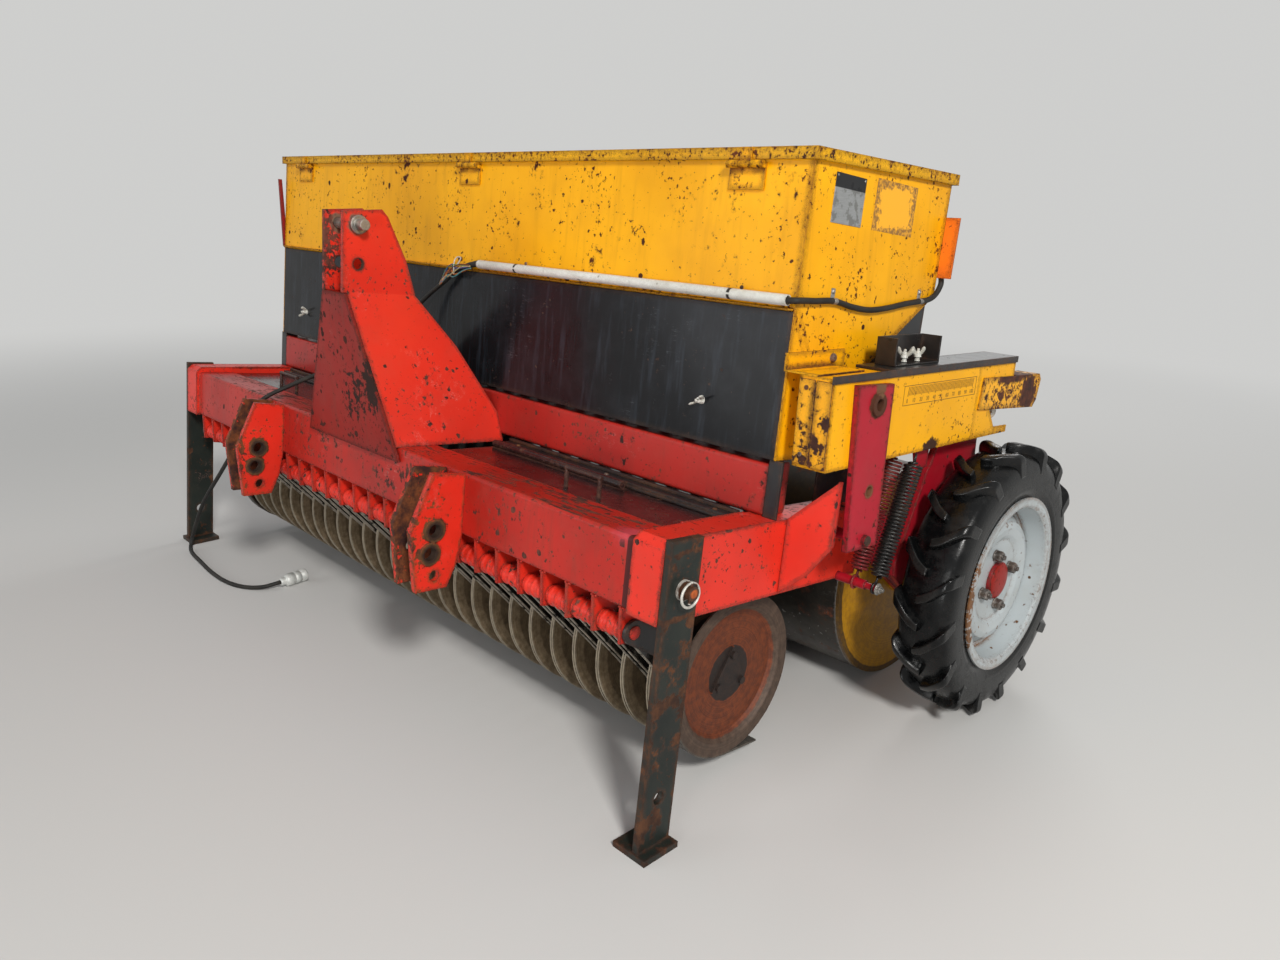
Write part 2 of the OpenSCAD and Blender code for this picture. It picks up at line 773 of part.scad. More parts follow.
// The arm hangs under the housing and carries the wheel's spindle
module wheel_arm() {
    parked() color(crimson) {
        plate_yz(arm_x, arm_t, arm_outline);
        x_cyl(arm_x - 8, arm_x + arm_t + 8, wheel_y, wheel_z, 36);
        x_cyl(arm_x, wheel_x + 12, wheel_y, wheel_z, spindle_r);
        on_housing() block([arm_x - housing_out - 12, 495, -10], [arm_x - housing_out + arm_t + 12, 690, -seat]);
    }
}

bead_r = rim_r - 20;
flange_x = 63;
flange_w = 5;
rim_t = 5;
// The carcass's half section as [radius, half width] points, bead to crown
tyre_section = [[bead_r + seat, flange_x - flange_w - seat], [rim_r + 4, flange_x - flange_w - seat],
    [rim_r + 10, 60], [rim_r + 42, 64], [tyre_r - 46, 62], [tyre_r - 28, 53], [tyre_r - 20, 26]];
bar_count = 16;
bar_depth = 56;
// Plan of a tread bar as [place along the axle, distance round the tyre] points, from the middle to the shoulder
bar_plan = [[-5, 11], [-5, -9], [16, -22], [61, -74], [61, -44], [22, 2]];

// Each side has its own row of slanting bars, half a step apart, and all are turned down to the tyre's radius
module tyre() {
    s = tyre_w / 128;
    n = len(tyre_section);
    parked() color(rubber_black) translate([wheel_x, wheel_y, wheel_z]) {
        rotate([0, 90, 0]) rotate_extrude($fn = 96)
            polygon(concat([for (p = tyre_section) [p[0], p[1] * s]],
                [for (i = [n - 1:-1:0]) [tyre_section[i][0], -tyre_section[i][1] * s]]));
        intersection() {
            for (i = [0:bar_count - 1], side = [1, -1]) rotate([(i + (1 - side) / 4) * 360 / bar_count, 0, 0])
                translate([0, tyre_r + 4, 0]) rotate([90, 0, 0])
                linear_extrude(bar_depth + 4) polygon([for (p = bar_plan) [side * s * p[0], p[1]]]);
            rotate([0, 90, 0]) cylinder(h = tyre_w, r = tyre_r, center = true, $fn = 96);
        }
    }
}

spigot_r = 40;
well_r = bead_r - rim_t;
// The rim's section as [radius, place along the axle] points: outer side, barrel, inner side
rim_section = [[spigot_r, 22], [96, 22], [108, 30], [126, 34], [140, 30], [150, 14], [160, 6], [171, 8],
    [well_r - 3, 40], [well_r, 58], [bead_r + 1, flange_x], [rim_r, flange_x], [rim_r, flange_x - flange_w],
    [bead_r, flange_x - flange_w], [bead_r, flange_w - flange_x], [rim_r, flange_w - flange_x],
    [rim_r, -flange_x], [bead_r + 1, -flange_x], [well_r, -58], [well_r, 20], [174, 3], [158, 1],
    [148, 8], [138, 24], [126, 28], [109, 24], [97, 16], [spigot_r, 16]];

module rim() {
    parked() color(rim_grey) translate([wheel_x, wheel_y, wheel_z]) rotate([0, 90, 0])
        rotate_extrude($fn = 96) polygon(rim_section);
}

bolt_circle = 66;
cap_r = 44;

// Hub barrel with the spindle's bore, its flange behind the rim, red cap and four bolt heads
module hub() {
    parked() color(red) {
        difference() {
            union() {
                x_cyl(wheel_x - 58, wheel_x + 16 - seat, wheel_y, wheel_z, 38);
                x_cyl(wheel_x + 6, wheel_x + 16 - seat, wheel_y, wheel_z, bolt_circle + 18);
                x_cyl(wheel_x, wheel_x + 24, wheel_y, wheel_z, spigot_r - seat);
                x_cyl(wheel_x + 22 + seat, wheel_x + 30, wheel_y, wheel_z, cap_r);
            }
            x_cyl(wheel_x - 60, wheel_x + 14, wheel_y, wheel_z, spindle_r + run);
        }
        for (a = [20:90:290]) x_cyl(wheel_x + 22 + seat, wheel_x + 38, wheel_y + bolt_circle * cos(a),
            wheel_z + bolt_circle * sin(a), 11, $fn = 24);
    }
}

drum_wall = 8;
end_t = 8;

module roller_drum() {
    parked() color(black) difference() {
        x_cyl(end_t - drum_half, drum_half - end_t, drum_y, drum_z, drum_r, $fn = 96);
        x_cyl(-drum_half, drum_half, drum_y, drum_z, drum_r - drum_wall, $fn = 96);
    }
}

stub_r = 20;
boss_r = 55;
boss_t = 14;

module roller_ends() {
    parked() color(yellow) both_sides() difference() {
        union() {
            x_cyl(drum_half - end_t, drum_half, drum_y, drum_z, drum_r, $fn = 96);
            x_cyl(drum_half - 1, drum_half + boss_t, drum_y, drum_z, boss_r);
        }
        x_cyl(drum_half - end_t - 1, drum_half + boss_t + 1, drum_y, drum_z, stub_r + run);
    }
}

roller_arm_x = beam_half + 12;

module roller_arms() {
    parked() color(red) both_sides() {
        plate_yz(roller_arm_x, 14, [[side_rear + seat, side_high - 4], [side_rear + seat, side_low + side_h / 2 - 6],
            [drum_y - 50, drum_z - 40], [drum_y + 40, drum_z - 40], [drum_y + 46, drum_z + 24],
            [drum_y - 10, drum_z + 66], [side_rear + 90, side_high - 4]]);
        x_cyl(drum_half - 24, roller_arm_x + 20, drum_y, drum_z, stub_r);
    }
}

rib_t = 6;
pivot_r = 13;
pivot_end = beam_half - 9;

// Ribs under the beam carry the pivot tube
module coulter_tube() {
    parked() color(red) {
        x_cyl(-pivot_end, pivot_end, pivot_y, pivot_z, pivot_r);
        for (i = [0:row_count]) plate_yz((i - row_count / 2) * row_pitch - rib_t / 2, rib_t,
            [[0, beam_low], [pivot_y - 24, pivot_z - 22], [pivot_y + 14, pivot_z - 26], [90, beam_low]]);
    }
}

bush_half = 30;

module coulter_bushes() {
    parked() color(red) for (x = row_x)
        x_ring(x - bush_half, x + bush_half, pivot_y, pivot_z, bush_r, pivot_r + seat, $fn = 32);
}

arm_w = 26;
coulter_arm_x = 16;
coulter_arm_t = 5;

// Two flat bars per row, seated on the bush and straddling the discs
module coulter_arms() {
    parked() color(black) difference() {
        for (x = row_x, side = [-1, 1])
            plate_yz(x + (side < 0 ? -coulter_arm_x - coulter_arm_t : coulter_arm_x), coulter_arm_t,
                bar_outline([pivot_y, pivot_z], [disc_y, disc_z], arm_w / 2, arm_w / 2 + 3, 1, 10));
        x_cyl(-pivot_end, pivot_end, pivot_y, pivot_z, bush_r + seat);
    }
}

module coulter_discs() {
    parked() color(steel) for (x = row_x) {
        for (side = [-1, 1]) translate([x + side * disc_off, disc_y, disc_z]) rotate([0, 90, 0])
            rotate([side * disc_toe, 0, 0]) cylinder(h = disc_t, r = disc_r, center = true);
        x_cyl(x - coulter_arm_x + seat, x + coulter_arm_x - seat, disc_y, disc_z, hub_r, $fn = 24);
    }
}

end_arm_x = pivot_end - 10;
end_arm_t = 8;
end_hub_x = pivot_end + 2;
end_disc_x = pivot_end + 17;
dish = 15;

// Each outer disc has an arm of its own on the end of the pivot tube
module end_arms() {
    parked() color(black) both_sides() difference() {
        union() {
            plate_yz(end_arm_x, end_arm_t, bar_outline([pivot_y, pivot_z], [disc_y, disc_z], 24, 30, 12, 12));
            x_cyl(end_arm_x + end_arm_t - 1, end_hub_x - seat, disc_y, disc_z, 26);
        }
        x_cyl(end_arm_x - 1, end_arm_x + 20, pivot_y, pivot_z, pivot_r + seat);
    }
}

plate_r = 62;
shoe_w = 34;
shoe_t = 4;
shoe_tail = 108;
shoe_low = disc_z - disc_r - shoe_t;

// A dished disc with a flat rim, a three-cornered plate on its outer side and a skid under it
module end_discs() {
    face = end_hub_x + disc_t;
    function on_edge(a, r) = [disc_y + r * cos(a), disc_z + r * sin(a)];
    parked() color(rust) both_sides() {
        plate_yz(end_disc_x + disc_t - shoe_w, shoe_w, concat([for (a = [-150:10:-90]) on_edge(a, disc_r + shoe_t)],
            [[disc_y + shoe_tail, shoe_low], [disc_y + shoe_tail, shoe_low + shoe_t]],
            [for (a = [-90:-10:-150]) on_edge(a, disc_r - 1)]));
        translate([end_disc_x, disc_y, disc_z]) rotate([0, 90, 0]) rotate_extrude($fn = 72)
            polygon([[0, -dish], [133, -dish], [149, 0], [disc_r, 0], [disc_r, disc_t], [148, disc_t],
                [132, disc_t - dish], [0, disc_t - dish]]);
        plate_yz(face - 1, 7, [for (a = [90, 210, 330]) [disc_y + plate_r * cos(a), disc_z + plate_r * sin(a)]]);
        for (a = [90, 210, 330]) x_cyl(face, face + 12, disc_y + 42 * cos(a), disc_z + 42 * sin(a), 8, $fn = 16);
    }
}

// Smooth path through the route's points, with two points added in every span
function smooth(p) = let (n = len(p)) concat([for (i = [0:n - 2], k = [0:2])
    let (t = k / 3, a = p[max(i - 1, 0)], b = p[i], c = p[i + 1], d = p[min(i + 2, n - 1)])
    b + 0.5 * t * ((c - a) + t * ((2 * a - 5 * b + 4 * c - d) + t * (3 * b - a - 3 * c + d)))], [p[n - 1]]);

// A place in the machine's own axes, set down as parked() does before centring
function set_down(p) = [p[0], p[1] * cos_p + p[2] * sin_p, p[2] * cos_p - p[1] * sin_p];

// Rings round the path, each turned from the one before it so that the sweep doesn't twist
module sweep(path, d, sides) {
    n = len(path);
    function dir(i) = let (v = path[min(i + 1, n - 1)] - path[max(i - 1, 0)]) v / norm(v);
    function unit(v) = v / norm(v);
    frames = [for (i = 0, u = unit(cross(dir(0), [0.31, 0.42, 0.85])); i < n; i = i + 1,
        u = i < n ? unit(u - (u * dir(i)) * dir(i)) : u) u];
    pts = [for (i = [0:n - 1], k = [0:sides - 1]) let (w = cross(frames[i], dir(i)))
        path[i] + d / 2 * (cos(360 * k / sides) * frames[i] + sin(360 * k / sides) * w)];
    faces = concat(
        [[for (k = [0:sides - 1]) k]],
        [for (i = [0:n - 2], k = [0:sides - 1]) [i * sides + k, (i + 1) * sides + k,
            (i + 1) * sides + (k + 1) % sides, i * sides + (k + 1) % sides]],
        [[for (k = [sides - 1:-1:0]) (n - 1) * sides + k]]);
    translate([-mid_x, -mid_y, 0]) polyhedron(pts, faces);
}

cord_d = 12;
plug_r = 19;
side_y = hopper_half + cord_d / 2 + seat;
// Cable clipped along the hopper's right side, as points in the machine's own axes
side_route = [[hopper_half - 43, pipe_y, pipe_z], [hopper_half - 20, pipe_y, pipe_z],
    [hopper_half - 6, pipe_y - 2, pipe_z], [hopper_half + 6, pipe_y + 3, pipe_z + 1],
    [side_y + 2, pipe_y + 18, pipe_z + 2], [side_y + 1, 340, pipe_z + 3], [side_y, 407, pipe_z + 6], [side_y, 470, 1010], [side_y, 534, 1007], [side_y, 600, 1014],
    [side_y, 670, 1026], [side_y, 729, 1034], [side_y, 765, 1040], [side_y, 790, marker_low - 35],
    [side_y, 806, marker_low - 12], [side_y - 6, 810, marker_low + 8]];
// Free cable: from the conduit, behind the headstock and over the beam, in the machine's own axes
hang_route = [[pipe_left, pipe_y, pipe_z], [pipe_left - 12, pipe_y, pipe_z], [20, 283, 1003], [-29, 282, 984],
    [-70, 277, 955], [-110, 268, 925], [-190, 240, 850], [-270, 195, 765], [-350, 140, 695], [-420, 88, 653],
    [-463, 42, 619], [-488, -1, 591], [-500, -24, 567], [-524, -33, 530], [-560, -33, 490], [-620, -30, 435],
    [-709, -25, 359], [-793, -25, 281], [-896, -25, 185], [-964, -25, 91]];
// and then along the ground to its plug, in the parked axes before centring
ground_route = [[-989, -20, 50], [-991, -28, 22], [-970, -38, 8.5], [-920, -47, 7], [-845, -53, 7],
    [-757, -60, 7], [-670, -60, 7], [-604, -50, 7], [-553, -28, 7.5], [-515, 4, 12], [-501, 36, 18.6]];
plug_start = [-500, 50, 19.2];
plug_end = [-510, 134, 19.2];
plug_dir = (plug_end - plug_start) / norm(plug_end - plug_start);

module side_cable() { color(cord_black) sweep([for (p = smooth(side_route)) set_down(p)], cord_d, 8); }

// Its first and last spans are straight, so it meets the stopper and the plug face to face
module cord() {
    span = cord_d / 2;
    inner = concat([for (p = hang_route) set_down(p)], ground_route, [plug_start - span * plug_dir]);
    color(cord_black) sweep(concat([set_down(hang_route[0])],
        smooth([for (i = [1:len(inner) - 1]) inner[i]]), [plug_start]), cord_d, 8);
}

module cord_plug() {
    color(steel) translate([-mid_x, -mid_y, 0]) {
        rod(plug_start, plug_start + 16 * plug_dir, 12, $fn = 24);
        rod(plug_start + 15 * plug_dir, plug_end, plug_r, $fn = 32);
    }
}

front_beam();
side_members();
rear_rail();
deck_covers();
headstock_plates();
headstock_front();
top_link_pin();
hitch_lugs();
leg_left();
leg_right();
leg_pin_left();
leg_pin_right();
hopper_shell();
hopper_cover();
hopper_feet();
lid();
lid_hinges();
lid_straps();
conduit();
side_bracket();
marker_plate();
metering_box();
seed_tubes();
drive_housing();
housing_cover();
adjuster_box();
end_bracket();
scale_knob();
gusset();
link_plate();
spring_mounts();
springs();
wheel_arm();
tyre();
rim();
hub();
roller_drum();
roller_ends();
roller_arms();
coulter_tube();
coulter_bushes();
coulter_arms();
coulter_discs();
end_arms();
end_discs();
side_cable();
cord();
cord_plug();
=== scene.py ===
# %% [markdown]
# # Seed drill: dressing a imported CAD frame
#
# The CAD model arrives as a fixed frame. This notebook gives every node a procedural material and
# adds the small pieces that a photograph shows: tread, springs, cables, bolts, welds and plates.
# All lengths are metres in the row frame: X towards the drive wheel, which is on the right as seen
# from in front, Y towards the rear, Z up from the ground.

# %% Load the frame
import math

import bpy
import numpy as np
from mathutils import Matrix, Vector


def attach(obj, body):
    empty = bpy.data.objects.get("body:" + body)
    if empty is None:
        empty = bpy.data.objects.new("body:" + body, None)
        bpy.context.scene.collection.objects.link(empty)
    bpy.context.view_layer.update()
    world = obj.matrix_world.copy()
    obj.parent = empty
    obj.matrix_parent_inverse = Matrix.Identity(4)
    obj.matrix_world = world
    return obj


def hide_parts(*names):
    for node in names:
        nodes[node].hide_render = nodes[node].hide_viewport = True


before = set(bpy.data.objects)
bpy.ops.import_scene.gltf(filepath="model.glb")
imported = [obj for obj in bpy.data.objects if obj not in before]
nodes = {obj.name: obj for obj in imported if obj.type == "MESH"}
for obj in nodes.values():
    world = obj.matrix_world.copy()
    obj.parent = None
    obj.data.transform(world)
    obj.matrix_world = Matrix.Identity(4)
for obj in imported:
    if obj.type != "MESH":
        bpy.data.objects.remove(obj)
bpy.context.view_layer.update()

# %% [markdown]
# ## The machine's own axes
#
# The real machine is parked nose-up, but its drawings are square to the front beam. A piece could be
# modelled square and its object turned afterwards, but then its patterns and its place would depend
# on that turn. So places are written square, in millimetres, and one function turns the points.

# %% Frames
PITCH = math.radians(5.74)
COS, SIN = math.cos(PITCH), math.sin(PITCH)
MID_X, MID_Y = 79.75, 623.8442
TURN = 2 * math.pi


def row(points):
    """Turns machine points in mm into row metres: a turn about X by the parking pitch, then centring.
    y' = y cos + z sin - MID_Y and z' = z cos - y sin, all over 1000."""
    x, y, z = np.moveaxis(np.asarray(points, float), -1, 0)
    return np.stack([x - MID_X, y * COS + z * SIN - MID_Y, z * COS - y * SIN], axis=-1) / 1000.0


def parked(points):
    """Centres points in mm that already stand in parked axes, such as a cable's run on the ground."""
    return (np.asarray(points, float) - [MID_X, MID_Y, 0.0]) / 1000.0


def unit(v):
    """A vector, or each row of an array of vectors, divided by its length."""
    return np.asarray(v, float) / np.linalg.norm(v, axis=-1, keepdims=True)


print("beam corner", row([1000, 0, 582]).round(4))

# %% [markdown]
# ## Camera
#
# The picture was taken from close by with a wide lens, slightly rolled. A camera can be moved by eye
# until it looks right, but then no piece can be placed by a pixel. So the place and the angles come
# from a fit of thirty points of the photograph to the model: yaw and tilt give the view direction,
# and roll turns the picture about it.

# %% Camera
YAW, TILT, ROLL = math.radians(44.085), math.radians(-12.445), math.radians(5.926)
EYE = [2101.03, -1145.32, 1037.64]
FOCAL_PIXELS, PICTURE_WIDTH, SENSOR = 944.30, 1280, 36.0


def add_object(name, data, body=None):
    """Links a new object that holds the data, and lets it ride on a body if one is named."""
    obj = bpy.data.objects.new(name, data)
    bpy.context.scene.collection.objects.link(obj)
    if body is not None:
        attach(obj, body)
    return obj


view_dir = np.array([-math.sin(YAW) * math.cos(TILT), math.cos(YAW) * math.cos(TILT), math.sin(TILT)])
side = unit(np.cross(view_dir, [0, 0, 1]))
above = np.cross(side, view_dir)
right = math.cos(ROLL) * side + math.sin(ROLL) * above
upward = -math.sin(ROLL) * side + math.cos(ROLL) * above
unpitch = np.array([[1, 0, 0], [0, COS, SIN], [0, -SIN, COS]])
axes = np.stack([unpitch @ right, unpitch @ upward, -(unpitch @ view_dir)], axis=1)
camera_data = bpy.data.cameras.new("camera")
camera_data.sensor_fit, camera_data.sensor_width = "HORIZONTAL", SENSOR
camera_data.lens = FOCAL_PIXELS / PICTURE_WIDTH * SENSOR
camera_data.clip_end = 200
camera = add_object("camera", camera_data)
camera.matrix_world = Matrix.Translation(row(EYE)) @ Matrix(axes.tolist()).to_4x4()
bpy.context.scene.camera = camera
print("camera at", camera.location[:], "lens", round(camera_data.lens, 2))

# %% [markdown]
# ## Grids and meshes
#
# Every new piece is a grid of points computed as whole arrays: rows run along it, columns across.
# Blender needs only the points and the quads between neighbours, so one function numbers the quads
# for every shape, and another puts points and faces into a mesh whose object stays at the origin.

# %% Mesh helpers
def make(name, shape, material=None, body="frame", smooth=True):
    """Builds one mesh object at the origin from (points, faces), and lets it ride on a body."""
    verts, faces = shape
    mesh = bpy.data.meshes.new(name)
    mesh.from_pydata(np.asarray(verts, float).tolist(), [], faces)
    mesh.validate()
    if material is not None:
        mesh.materials.append(material)
    mesh.polygons.foreach_set("use_smooth", np.full(len(mesh.polygons), smooth))
    mesh.update()
    print("made", name, len(mesh.polygons), "faces")
    return add_object(name, mesh, body)


def grid_faces(rows, cols, wrap_rows=False, wrap_cols=False):
    """Quads between neighbouring points of a rows by cols grid, closed round either way if asked."""
    r = np.arange(rows if wrap_rows else rows - 1)
    c = np.arange(cols if wrap_cols else cols - 1)
    rr, cc = np.meshgrid(r, c, indexing="ij")
    r1, c1 = (rr + 1) % rows, (cc + 1) % cols
    quads = [rr * cols + cc, rr * cols + c1, r1 * cols + c1, r1 * cols + cc]
    return np.stack(quads, axis=-1).reshape(-1, 4).tolist()


def end_faces(rows, cols):
    """The two caps of a grid: its first row, backwards, and its last."""
    return [list(range(cols))[::-1], list(range((rows - 1) * cols, rows * cols))]


def join(parts):
    """Puts several (points, faces) pairs into one pair, shifting the faces' numbers."""
    verts, faces, n = [], [], 0
    for v, f in parts:
        verts.append(np.asarray(v, float).reshape(-1, 3))
        faces.extend([[i + n for i in q] for q in f])
        n += len(verts[-1])
    return np.concatenate(verts), faces


print("quads of a 3 by 4 grid", len(grid_faces(3, 4)))

# %% [markdown]
# ## Round and square stock
#
# Cables, springs, weld beads, nuts and screws are all round, and the plates have edges that are
# broken by a file. A curve's bevel, a Screw modifier or a Bevel modifier could make them. A few lines
# of array code give the same surfaces closed and at their exact size, with nothing left to apply.

# %% Tube and lathe
def angles(count):
    """Evenly spaced angles round a full circle."""
    return np.linspace(0, TURN, count, endpoint=False)


def tube(path, radius, sides=10, closed=False):
    """A round tube along a path of points: at each point a circle stands square to the path, its frame
    carried along by the smallest turn. radius is a number or one number per point."""
    p = np.asarray(path, float)
    n = len(p)
    if closed:
        t = unit(np.roll(p, -1, 0) - np.roll(p, 1, 0))
    else:
        t = unit(np.vstack([p[1:], p[-1:]]) - np.vstack([p[:1], p[:-1]]))
    u = unit(np.cross(t[0], [0, 0, 1.0] if abs(t[0][2]) < 0.9 else [1.0, 0, 0]))
    us = []
    for way in t:
        u = unit(u - way * np.dot(u, way))
        us.append(u)
    us = np.array(us)[:, None, :]
    vs = np.cross(t[:, None, :], us)
    a = angles(sides)[None, :, None]
    rad = np.broadcast_to(np.asarray(radius, float), (n,))[:, None, None]
    ring = p[:, None, :] + rad * (np.cos(a) * us + np.sin(a) * vs)
    faces = grid_faces(n, sides, wrap_rows=closed, wrap_cols=True)
    return ring.reshape(-1, 3), faces if closed else faces + end_faces(n, sides)


def lathe(profile, centre, axis=(1, 0, 0), turns=48, start=(0, 0, 1)):
    """Turns a profile of (along, radius) pairs about an axis through centre: every pair becomes a ring
    whose points are centre + along * axis + radius * (cos a * u + sin a * v)."""
    ax = unit(axis)
    if np.linalg.norm(np.cross(ax, start)) <= 0.1:
        start = (1, 0, 0)
    u = unit(np.asarray(start, float) - ax * np.dot(start, ax))
    pr, a = np.asarray(profile, float), angles(turns)[:, None]
    ring = np.cos(a) * u + np.sin(a) * np.cross(ax, u)
    pts = np.asarray(centre, float) + pr[:, :1, None] * ax + pr[:, 1:, None] * ring
    return pts.reshape(-1, 3), grid_faces(len(pr), turns, wrap_cols=True)


print("points of a ring", len(lathe([(0, 1), (1, 1)], (0, 0, 0))[0]))


# %% Block and spline
def block(low, high, chamfer):
    """A box with its edges cut back by a chamfer: eight corners, each drawn as three points. Corner
    numbers are three bits, one per axis, and a set bit means the high side."""
    lo, hi = np.asarray(low, float), np.asarray(high, float)
    verts, index = [], {}
    for i in range(8):
        far = [(i >> k) & 1 for k in range(3)]
        corner = np.where(far, hi, lo)
        for k in range(3):
            p = corner + np.where(far, -1.0, 1.0) * chamfer
            p[k] = corner[k]
            index[(i, k)] = len(verts)
            verts.append(p)
    faces = []
    for k in range(3):
        a, b = [(1, 2), (2, 0), (0, 1)][k]
        for s in (0, 1):
            loop = [c | (s << k) for c in (0, 1 << a, (1 << a) | (1 << b), 1 << b)]
            faces.append([index[(c, k)] for c in (loop if s else loop[::-1])])
        for sa in (0, 1):
            for sb in (0, 1):
                c0 = (sa << a) | (sb << b)
                c1 = c0 | (1 << k)
                quad = [index[(c0, a)], index[(c1, a)], index[(c1, b)], index[(c0, b)]]
                faces.append(quad if (sa + sb) % 2 else quad[::-1])
    for i in range(8):
        tri = [index[(i, 0)], index[(i, 1)], index[(i, 2)]]
        faces.append(tri if bin(i).count("1") % 2 else tri[::-1])
    return np.array(verts), faces


def spline(points, steps=6):
    """Catmull-Rom curve through the points: each span is half of a cubic of its four neighbours."""
    p = np.asarray(points, float)
    q = np.vstack([p[:1], p, p[-1:]])
    t = np.linspace(0, 1, steps, endpoint=False)[:, None]
    spans = [0.5 * (2 * b + (c - a) * t + (2 * a - 5 * b + 4 * c - d) * t ** 2
                    + (3 * b - a - 3 * c + d) * t ** 3)
             for a, b, c, d in zip(q[:-3], q[1:-2], q[2:-1], q[3:])]
    return np.vstack(spans + [p[-1:]])


print("faces of a block", len(block((0, 0, 0), (1, 1, 1), 0.1)[1]))

# %% [markdown]
# ## Cables
#
# The free cable leaves the white conduit, hangs over the headstock and the beam, and lies on the
# ground with its plug. A rope simulation could drop it, but it has to lie where its CAD solids are.
# So its points repeat the CAD route, with the CAD's own smoothing: three steps for each span.

# %% Cable route
CORD_D = 0.012
hang = [[75, 285.2, 1012], [63, 285.2, 1012], [20, 283, 1003], [-29, 282, 984], [-70, 277, 955],
        [-110, 268, 925], [-190, 240, 850], [-270, 195, 765], [-350, 140, 695], [-420, 88, 653],
        [-463, 42, 619], [-488, -1, 591], [-500, -24, 567], [-524, -33, 530], [-560, -33, 490],
        [-620, -30, 435], [-709, -25, 359], [-793, -25, 281], [-896, -25, 185], [-964, -25, 91]]
ground = [[-989, -20, 50], [-991, -28, 22], [-970, -38, 8.5], [-920, -47, 7], [-845, -53, 7],
          [-757, -60, 7], [-670, -60, 7], [-604, -50, 7], [-553, -28, 7.5], [-515, 4, 12],
          [-501, 36, 18.6]]
plug_start, plug_end = np.array([-500, 50, 19.2]), np.array([-510, 134, 19.2])
plug_dir = unit(plug_end - plug_start)
hung, lead_in = row(hang), parked(plug_start - 6 * plug_dir)
inner = spline(np.vstack([hung, parked(ground), lead_in[None]]), 3)
cable_path = np.vstack([hung[:1], inner[1:], parked(plug_start)[None]])

# %% [markdown]
# ## A shorthand for node trees
#
# A material is a graph of nodes. It can be drawn by hand in the shader editor, but some forty related
# materials are easier to keep alike in code. This class adds a node, sets or links its sockets and
# returns its output, so that a formula reads from left to right.

# %% Graph helper
def rgb(text):
    """sRGB hex to linear light, with alpha 1."""
    c = np.array([int(text[k:k + 2], 16) for k in (0, 2, 4)]) / 255.0
    return (*np.where(c <= 0.04045, c / 12.92, ((c + 0.055) / 1.055) ** 2.4).tolist(), 1.0)


class Graph:
    """Adds nodes to one node tree. A value may be a socket, a number, an array or a hex colour."""

    def __init__(self, tree):
        self.tree = tree

    def add(self, kind, inputs=None, **settings):
        n = self.tree.nodes.new("ShaderNode" + kind)
        for k, v in settings.items():
            setattr(n, k, v)
        for k, v in (inputs or {}).items():
            self.put(n.inputs[k], v)
        return n

    def put(self, socket, value):
        if isinstance(value, bpy.types.NodeSocket):
            self.tree.links.new(value, socket)
        elif isinstance(value, str):
            socket.default_value = rgb(value)
        else:
            socket.default_value = value.tolist() if isinstance(value, np.ndarray) else value

    def math(self, op, a, b=0.0, c=0.0):
        return self.add("Math", {0: a, 1: b, 2: c}, operation=op).outputs[0]

    def plus(self, a, b):
        return self.math("ADD", a, b)

    def minus(self, a, b):
        return self.math("SUBTRACT", a, b)

    def times(self, a, b):
        return self.math("MULTIPLY", a, b)

    def weigh(self, a, share_a, b, share_b):
        return self.plus(self.times(a, share_a), self.times(b, share_b))

    def most(self, a, b):
        return self.math("MAXIMUM", a, b)

    def vec(self, op, a, b=(0, 0, 0)):
        n = self.add("VectorMath", {0: a, 1: b}, operation=op)
        return n.outputs["Value" if op in ("DOT_PRODUCT", "LENGTH", "DISTANCE") else "Vector"]

    def mix(self, fac, a, b):
        return self.add("Mix", {0: fac, 6: a, 7: b}, data_type="RGBA").outputs[2]

    def mixf(self, fac, a, b):
        return self.add("Mix", {0: fac, 2: a, 3: b}, data_type="FLOAT").outputs[0]

    def step(self, value, low, high):
        return self.add("MapRange", {"Value": value, "From Min": low, "From Max": high},
                        interpolation_type="SMOOTHSTEP").outputs[0]

    def noise(self, vector, scale, detail=3.0, rough=0.55):
        return self.add("TexNoise", {"Vector": vector, "Scale": scale, "Detail": detail,
                                     "Roughness": rough}).outputs[0]

    def stretch(self, vector, scale, turn=(0, 0, 0)):
        return self.add("Mapping", {"Vector": vector, "Scale": scale, "Rotation": turn}).outputs[0]

    def use(self, name, **inputs):
        return self.add("Group", inputs, node_tree=bpy.data.node_groups[name])


F, V, C = "Float", "Vector", "Color"


def group(name, inputs, outputs, build):
    """Makes a node group. inputs and outputs map a socket's name to its kind: Float, Vector, Color."""
    tree = bpy.data.node_groups.new(name, "ShaderNodeTree")
    for sockets, way in ((inputs, "INPUT"), (outputs, "OUTPUT")):
        for n, kind in sockets.items():
            tree.interface.new_socket(name=n, in_out=way, socket_type="NodeSocket" + kind)
    g = Graph(tree)
    gin, gout = tree.nodes.new("NodeGroupInput"), tree.nodes.new("NodeGroupOutput")
    for n, value in build(g, gin.outputs).items():
        g.put(gout.inputs[n], value)
    print("group", name, len(tree.nodes), "nodes")


print("middle grey is", round(rgb("808080")[0], 3), "in linear light")

# %% [markdown]
# ## Edge wear and chips
#
# Paint on a farm machine goes first where hands, soil and straps rub: along edges, and in scattered
# chips. A painted mask would need an image, so the edges are found by comparing a widely rounded
# normal with the true one, and the chips come from noise. As node groups they serve every paint.

